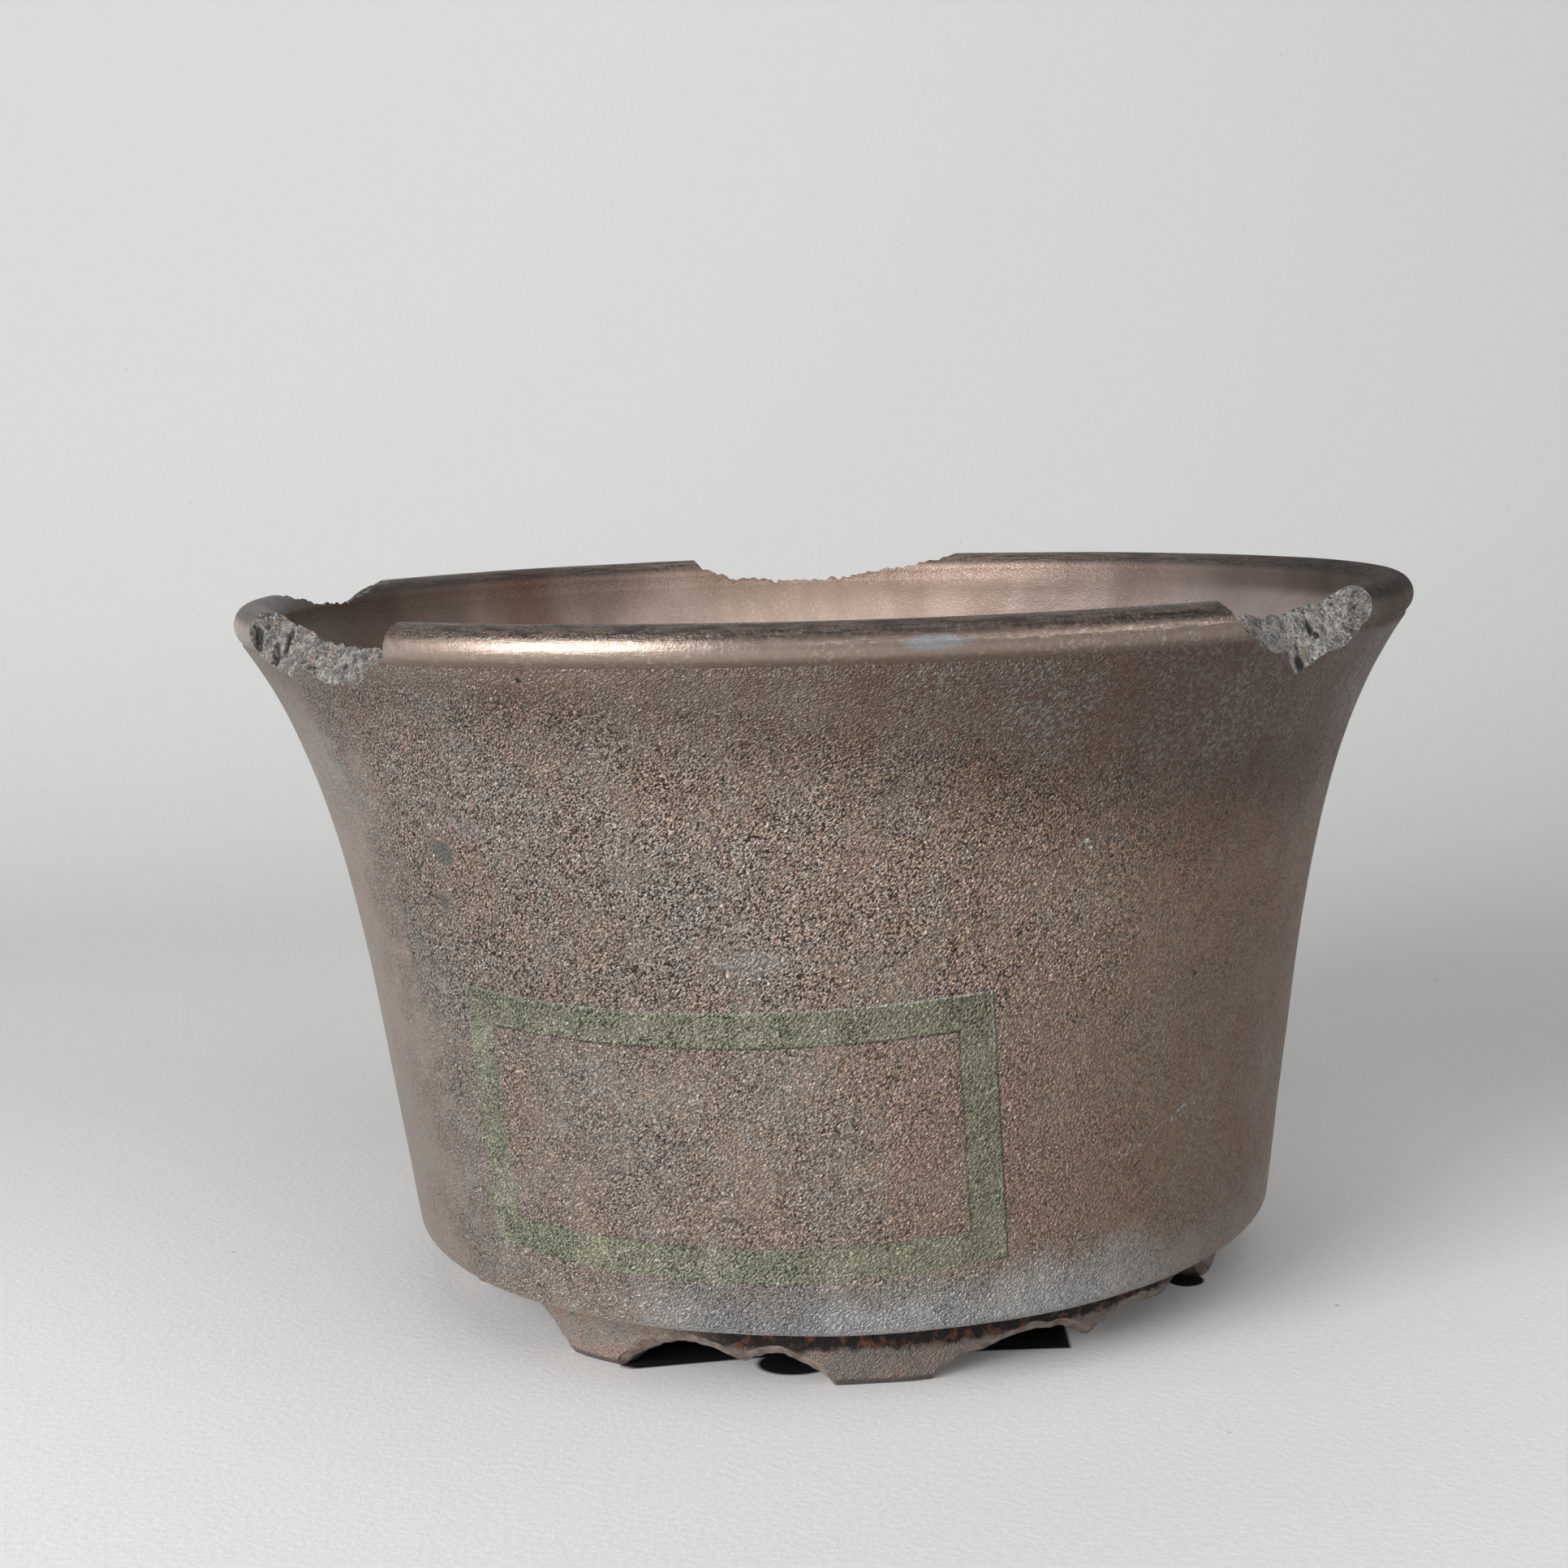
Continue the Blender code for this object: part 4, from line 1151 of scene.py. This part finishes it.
def foot_glaze(name):
    """The foot ring's glaze: brown and grey, with a dark line where it meets the floor of the pot, partly
    iron stain and partly painted shadow under the body's edge, and painted shade on its inner faces.
    """
    paint = Paint(name)
    where = WallPlace(paint)
    grain, coarse = grain_of(paint, where.leaning)
    colour, mottle, _ = mottled(paint)
    grey = paint.ramp(paint.noise(6.0, 3.0, 0.6, at=paint.stretched(offset=(0.0, 30.0, 0.0))), 0.42, 0.6)
    colour = paint.blend(paint.times(grey, 0.7), colour, RING_GREY)
    colour = paint.vector("MULTIPLY", colour, (0.88, 0.80, 0.74))
    front = paint.fall(paint.away(where.azimuth), 2.2, 2.9)
    right = paint.times(paint.ramp(where.azimuth, -0.6, -0.3), front)
    colour = paint.tinted(right, colour, (0.74, 0.74, 0.76))

    # a dark line under the body: partly iron stain, partly painted shadow under the body's overhanging edge
    line = paint.plus(paint.z, paint.times(paint.noise(1.6, 3.0, 0.65), 2.4))
    rightward = paint.plus(0.15, paint.times(paint.ramp(where.azimuth, -0.48, -0.25), front, 0.85))
    iron_and_shadow = paint.times(paint.ramp(line, 5.3, 6.2), rightward)
    colour = paint.blend(iron_and_shadow, colour, RING_IRON_AND_SHADOW)
    rust = paint.times(paint.ramp(line, 4.8, 6.2), paint.ramp(paint.noise(1.2, 3.0), 0.5, 0.65), rightward)
    colour = paint.blend(paint.times(rust, 0.6), colour, RING_RUST)
    colour = paint.blend(paint.ramp(paint.z, 0.7, 1.1, 0.85, 0.0), colour, RING_SOLE)
    pit = paint.times(paint.fall(coarse, 0.34, 0.42), 0.5)
    colour = paint.blend(pit, colour, DARK_BROWN)
    # painted shade: the ring's inner faces are near black
    behind = paint.ramp(where.radius, RING_INNER_RADIUS + 0.3, RING_INNER_RADIUS + 0.8, 0.9, 0.0)
    colour = paint.blend(behind, colour, IRON_BLACK_AND_SHADE)
    relief = paint.plus(paint.times(grain, 0.12), paint.times(mottle, 0.15))
    roughness = paint.plus(0.42, paint.times(paint.minus(mottle, 0.5), 0.3), paint.times(iron_and_shadow, 0.45))
    return paint.finish(colour, roughness, relief, 0.3)


def stone_paint(name):
    """Broken grey stoneware: pale crystals, dark specks, folds, cracks darkened with painted shade, and a
    little warm brown.
    """
    paint = Paint(name)
    mottle = paint.noise(1.1, 4.0, 0.7)
    colour = paint.blend(paint.ramp(mottle, 0.39, 0.61), STONE_DARK, STONE_PALE)
    crystals = paint.ramp(paint.noise(0.5, 2.0, 0.6, at=paint.stretched(offset=(0.0, 0.0, 50.0))), 0.6, 0.68)
    warm = paint.ramp(paint.noise(1.9, 3.0, 0.6, at=paint.stretched(offset=(30.0, 0.0, 0.0))), 0.52, 0.66)
    crumbs = paint.fall(paint.noise(0.28, 2.0, 0.6), 0.38, 0.5)
    specks = paint.fall(paint.cells(1.3), 0.14, 0.24)
    folds = paint.fall(paint.away(paint.noise(1.7, 4.0, 0.6, warp=1.5), 0.5), 0.0, 0.05)
    layers = [
        (crystals, 0.6, STONE_CRYSTAL),
        (warm, 0.6, STONE_WARM),
        (crumbs, 0.8, STONE_CRUMB),
        (specks, 0.9, STONE_SPECK),
        (folds, 0.55, STONE_FOLD),
    ]
    for share, amount, layer in layers:
        colour = paint.blend(paint.times(share, amount), colour, layer)

    # the chips at the back and on the left are darker, and the middle of the right one is lighter
    right_middle = paint.times(paint.ramp(paint.x, 46.0, 54.0), paint.fall(paint.x, 57.0, 60.0))
    tints = [
        (paint.ramp(paint.y, -20.0, 20.0), (0.45, 0.43, 0.41)),
        (paint.fall(paint.x, -20.0, 0.0), (0.80, 0.77, 0.74)),
        (right_middle, (1.5, 1.5, 1.48)),
        (paint.ramp(paint.x, 57.0, 60.5), (0.62, 0.60, 0.57)),
    ]
    for share, tint in tints:
        colour = paint.tinted(share, colour, tint)

    # painted shade: near black along the hollows and cracks, which are also cut into the broken faces
    below = Vector((0.0, 0.0, -0.4))
    cracks = 0.0
    for start, end, half_width in STONE_HOLLOWS:
        crack = paint.stroke(polar(*start) + below, polar(*end) + below, half_width + 0.15)
        cracks = paint.plus(cracks, crack)
    cracks = paint.times(cracks, paint.ramp(mottle, 0.3, 0.5, 0.7, 1.0))
    colour = paint.blend(paint.capped(cracks), colour, STONE_CRACK_SHADE)
    relief = paint.times(paint.noise(0.3, 3.0, 0.65), 0.3)
    return paint.finish(colour, paint.ramp(mottle, 0.3, 0.7, 0.7, 0.42), relief)


def torn_paint(name):
    """The clay of the foot ring where it was torn: rounded, brown and a little glazed."""
    paint = Paint(name)
    mottle = paint.noise(1.8, 4.0, 0.6)
    colour = paint.blend(paint.ramp(mottle, 0.38, 0.64), (0.11, 0.075, 0.06), (0.22, 0.18, 0.15))
    relief = paint.times(paint.noise(0.7, 3.0, 0.6), 0.12)
    return paint.finish(colour, 0.55, relief, 0.15)


def plastic_paint(name):
    """Black polyethylene with a faint moulding grain and dust."""
    paint = Paint(name)
    dust = paint.ramp(paint.noise(2.5, 4.0, 0.6), 0.5, 0.8)
    colour = paint.blend(paint.times(dust, 0.25), (0.016, 0.018, 0.016), (0.16, 0.14, 0.12))
    relief = paint.times(paint.noise(0.35, 2.0), 0.02)
    return paint.finish(colour, paint.ramp(dust, 0.0, 1.0, 0.42, 0.7), relief)


def wire_paint(name):
    """Drawn aluminium wire, dulled, with fine lengthwise scratches."""
    paint = Paint(name)
    tarnish = paint.noise(3.0, 4.0, 0.6)
    colour = paint.blend(paint.ramp(tarnish, 0.4, 0.7), (0.66, 0.65, 0.63), (0.42, 0.40, 0.37))
    scratches = paint.noise(0.18, 2.0, at=paint.stretched(x=0.06))
    return paint.finish(colour, paint.ramp(tarnish, 0.3, 0.7, 0.28, 0.5), paint.times(scratches, 0.015), 1.0)


# The deep shade on the paper under the pot: a disc, a straight front edge, and ovals as (x, y, half sizes).
SHADE_RADIUS = 39.5
SHADE_FRONT_Y = -40.4
SHADE_FRONT_HALF_WIDTH = 26.8
SHADE_GAPS = [(-6.2, -42.2, 4.6, 3.7), (43.4, -19.2, 2.3, 2.3)]


def shade_below(paint):
    """1 on the paper where the foot ring keeps the light out."""
    radius = paint.radius()
    slant = paint.times(paint.most(paint.minus(-11.0, paint.x), 0.0), 0.15)
    front = paint.ramp(paint.plus(paint.y, slant), SHADE_FRONT_Y - 0.3, SHADE_FRONT_Y + 0.3)
    side = SHADE_FRONT_HALF_WIDTH
    front = paint.times(front, paint.fall(paint.away(paint.x, -0.3), side - 0.3, side + 0.3))
    front = paint.times(front, paint.fall(radius, 49.0, 50.2), paint.fall(paint.y, -30.0, -20.0))
    shade_there = paint.most(front, paint.fall(radius, SHADE_RADIUS - 0.8, SHADE_RADIUS + 0.8))
    for x, y, wide, deep in SHADE_GAPS:
        offset = paint.vector("SUBTRACT", paint.place, (x, y, 0.0))
        offset = paint.vector("MULTIPLY", offset, (1.0 / wide, 1.0 / deep, 0.0))
        shade_there = paint.most(shade_there, paint.fall(paint.vector("LENGTH", offset), 0.9, 1.1))
    return shade_there


def paper_paint(name):
    """Matte grey-white paper with a faint tooth and specks, with painted shade: darker behind the pot and
    black under it.
    """
    paint = Paint(name)
    tooth = paint.noise(0.9, 3.0, 0.6)
    colour = paint.blend(paint.ramp(tooth, 0.3, 0.7), (0.70, 0.70, 0.695), (0.735, 0.735, 0.725))
    specks = paint.fall(paint.cells(14.0), 0.018, 0.03)
    colour = paint.blend(paint.times(specks, 0.5), colour, (0.25, 0.25, 0.25))
    # painted shade: the paper is darker behind the pot, and near black under it where the foot ring keeps the
    # light out
    behind = paint.times(paint.ramp(paint.y, -20.0, 110.0), paint.ramp(paint.y, 180.0, 520.0, 1.0, 0.35))
    colour = paint.tinted(behind, colour, (0.88, 0.88, 0.885))
    colour = paint.blend(shade_below(paint), colour, (0.008, 0.008, 0.008))
    paint.shader.inputs["Specular IOR Level"].default_value = 0.15
    return paint.finish(colour, 0.85, paint.times(tooth, 0.05))


# ---------------------------------------------------------------- stage, light and camera

# The paper sweep, in metres.
SWEEP_FRONT = -1.2
SWEEP_FLAT = 0.22
SWEEP_BEND = 0.55
SWEEP_TOP = 2.2
SWEEP_HALF_WIDTH = 2.2

# Softboxes round the pot, as (name, azimuth, elevation, distance, size, watts), in degrees and metres.
STUDIO = [
    ("key", -134.0, 17.0, 1.0, (0.5, 0.6), 9.0),
    ("key_strip", -142.0, 16.0, 1.0, (0.3, 0.9), 3.0),
    ("key_wall", -142.0, 16.0, 1.2, (1.3, 1.3), 9.5),
    ("top", -60.0, 60.0, 1.0, (0.8, 0.8), 2.8),
    ("fill", -38.0, 22.0, 1.0, (0.9, 0.1), 2.2),
    ("lip_middle", -82.0, 22.0, 1.0, (0.5, 0.06), 0.6),
    ("right_wall", 0.0, 25.0, 1.0, (0.8, 0.8), 0.8),
    ("back_top", 90.0, 70.0, 0.85, (0.5, 0.5), 0.6),
]
SURROUND_STRENGTH = 0.02

# The camera: its lens and place in mm, and its turns in degrees.
LENS = 52.906
SENSOR_WIDTH = 36.0
CAMERA_PLACE = (0.0, -302.0, 106.33)
CAMERA_YAW = -1.090
CAMERA_PITCH = 8.154
CAMERA_ROLL = -2.241


def make_stage():
    """A sheet of pale paper that lies under the pot and sweeps up behind it."""
    profile = [(SWEEP_FRONT, 0.0), (0.5 * SWEEP_FRONT, 0.0), (0.0, 0.0), (SWEEP_FLAT, 0.0)]
    steps = 24
    for i in range(1, steps + 1):
        angle = math.radians(90.0 * i / steps)
        profile.append((SWEEP_FLAT + SWEEP_BEND * math.sin(angle), SWEEP_BEND * (1.0 - math.cos(angle))))
    profile.append((SWEEP_FLAT + SWEEP_BEND, SWEEP_TOP))
    verts = []
    for y, z in profile:
        verts += [(-SWEEP_HALF_WIDTH, y, z), (SWEEP_HALF_WIDTH, y, z)]
    faces = [(2 * i, 2 * i + 1, 2 * i + 3, 2 * i + 2) for i in range(len(profile) - 1)]
    mesh = bpy.data.meshes.new("paper_sweep")
    mesh.from_pydata(verts, [], faces)
    for face in mesh.polygons:
        face.use_smooth = True
    paper = shown("paper_sweep", mesh, [paper_paint("paper")])


def area_light(name, azimuth, elevation, away, size, watts):
    """A softbox that faces the pot, placed by its azimuth, elevation and distance."""
    data = bpy.data.lights.new(name, "AREA")
    data.shape = "RECTANGLE"
    data.size, data.size_y = size
    data.energy = watts
    made = bpy.data.objects.new(name, data)
    bpy.context.scene.collection.objects.link(made)
    turn = Matrix.Rotation(math.radians(azimuth), 4, "Z") @ Matrix.Rotation(math.radians(-elevation), 4, "Y")
    place = turn @ Vector((away, 0.0, 0.0))
    made.location = place
    aim = Vector((0.0, 0.0, 0.04))
    made.rotation_euler = (aim - place).to_track_quat("-Z", "Y").to_euler()


def make_lights():
    """The softboxes, in a dim white surround."""
    world = bpy.data.worlds.new("studio")
    bpy.context.scene.world = world
    world.use_nodes = True
    surround = world.node_tree.nodes["Background"]
    surround.inputs["Color"].default_value = (1.0, 1.0, 1.0, 1.0)
    surround.inputs["Strength"].default_value = SURROUND_STRENGTH
    for softbox in STUDIO:
        area_light(*softbox)


def make_camera():
    """The camera of the picture: a close view, a little above the rim, tipped down."""
    data = bpy.data.cameras.new("camera")
    data.lens = LENS
    data.sensor_width = SENSOR_WIDTH
    data.clip_start = 0.01
    made = bpy.data.objects.new("camera", data)
    bpy.context.scene.collection.objects.link(made)
    turn = Matrix.Rotation(-math.radians(CAMERA_YAW), 4, "Z")
    turn @= Matrix.Rotation(math.pi / 2 - math.radians(CAMERA_PITCH), 4, "X")
    turn @= Matrix.Rotation(math.radians(CAMERA_ROLL), 4, "Z")
    made.matrix_world = Matrix.Translation(Vector(CAMERA_PLACE) * MM) @ turn
    bpy.context.scene.camera = made


def main():
    bpy.context.scene.view_settings.view_transform = "Standard"
    stone = stone_paint("broken_stoneware")
    make_body([body_glaze("glaze"), stone])
    make_foot_ring([foot_glaze("foot_glaze"), torn_paint("torn_clay")])
    make_screen([plastic_paint("plastic")])
    make_clip([wire_paint("aluminium")])
    make_stage()
    make_lights()
    make_camera()


main()
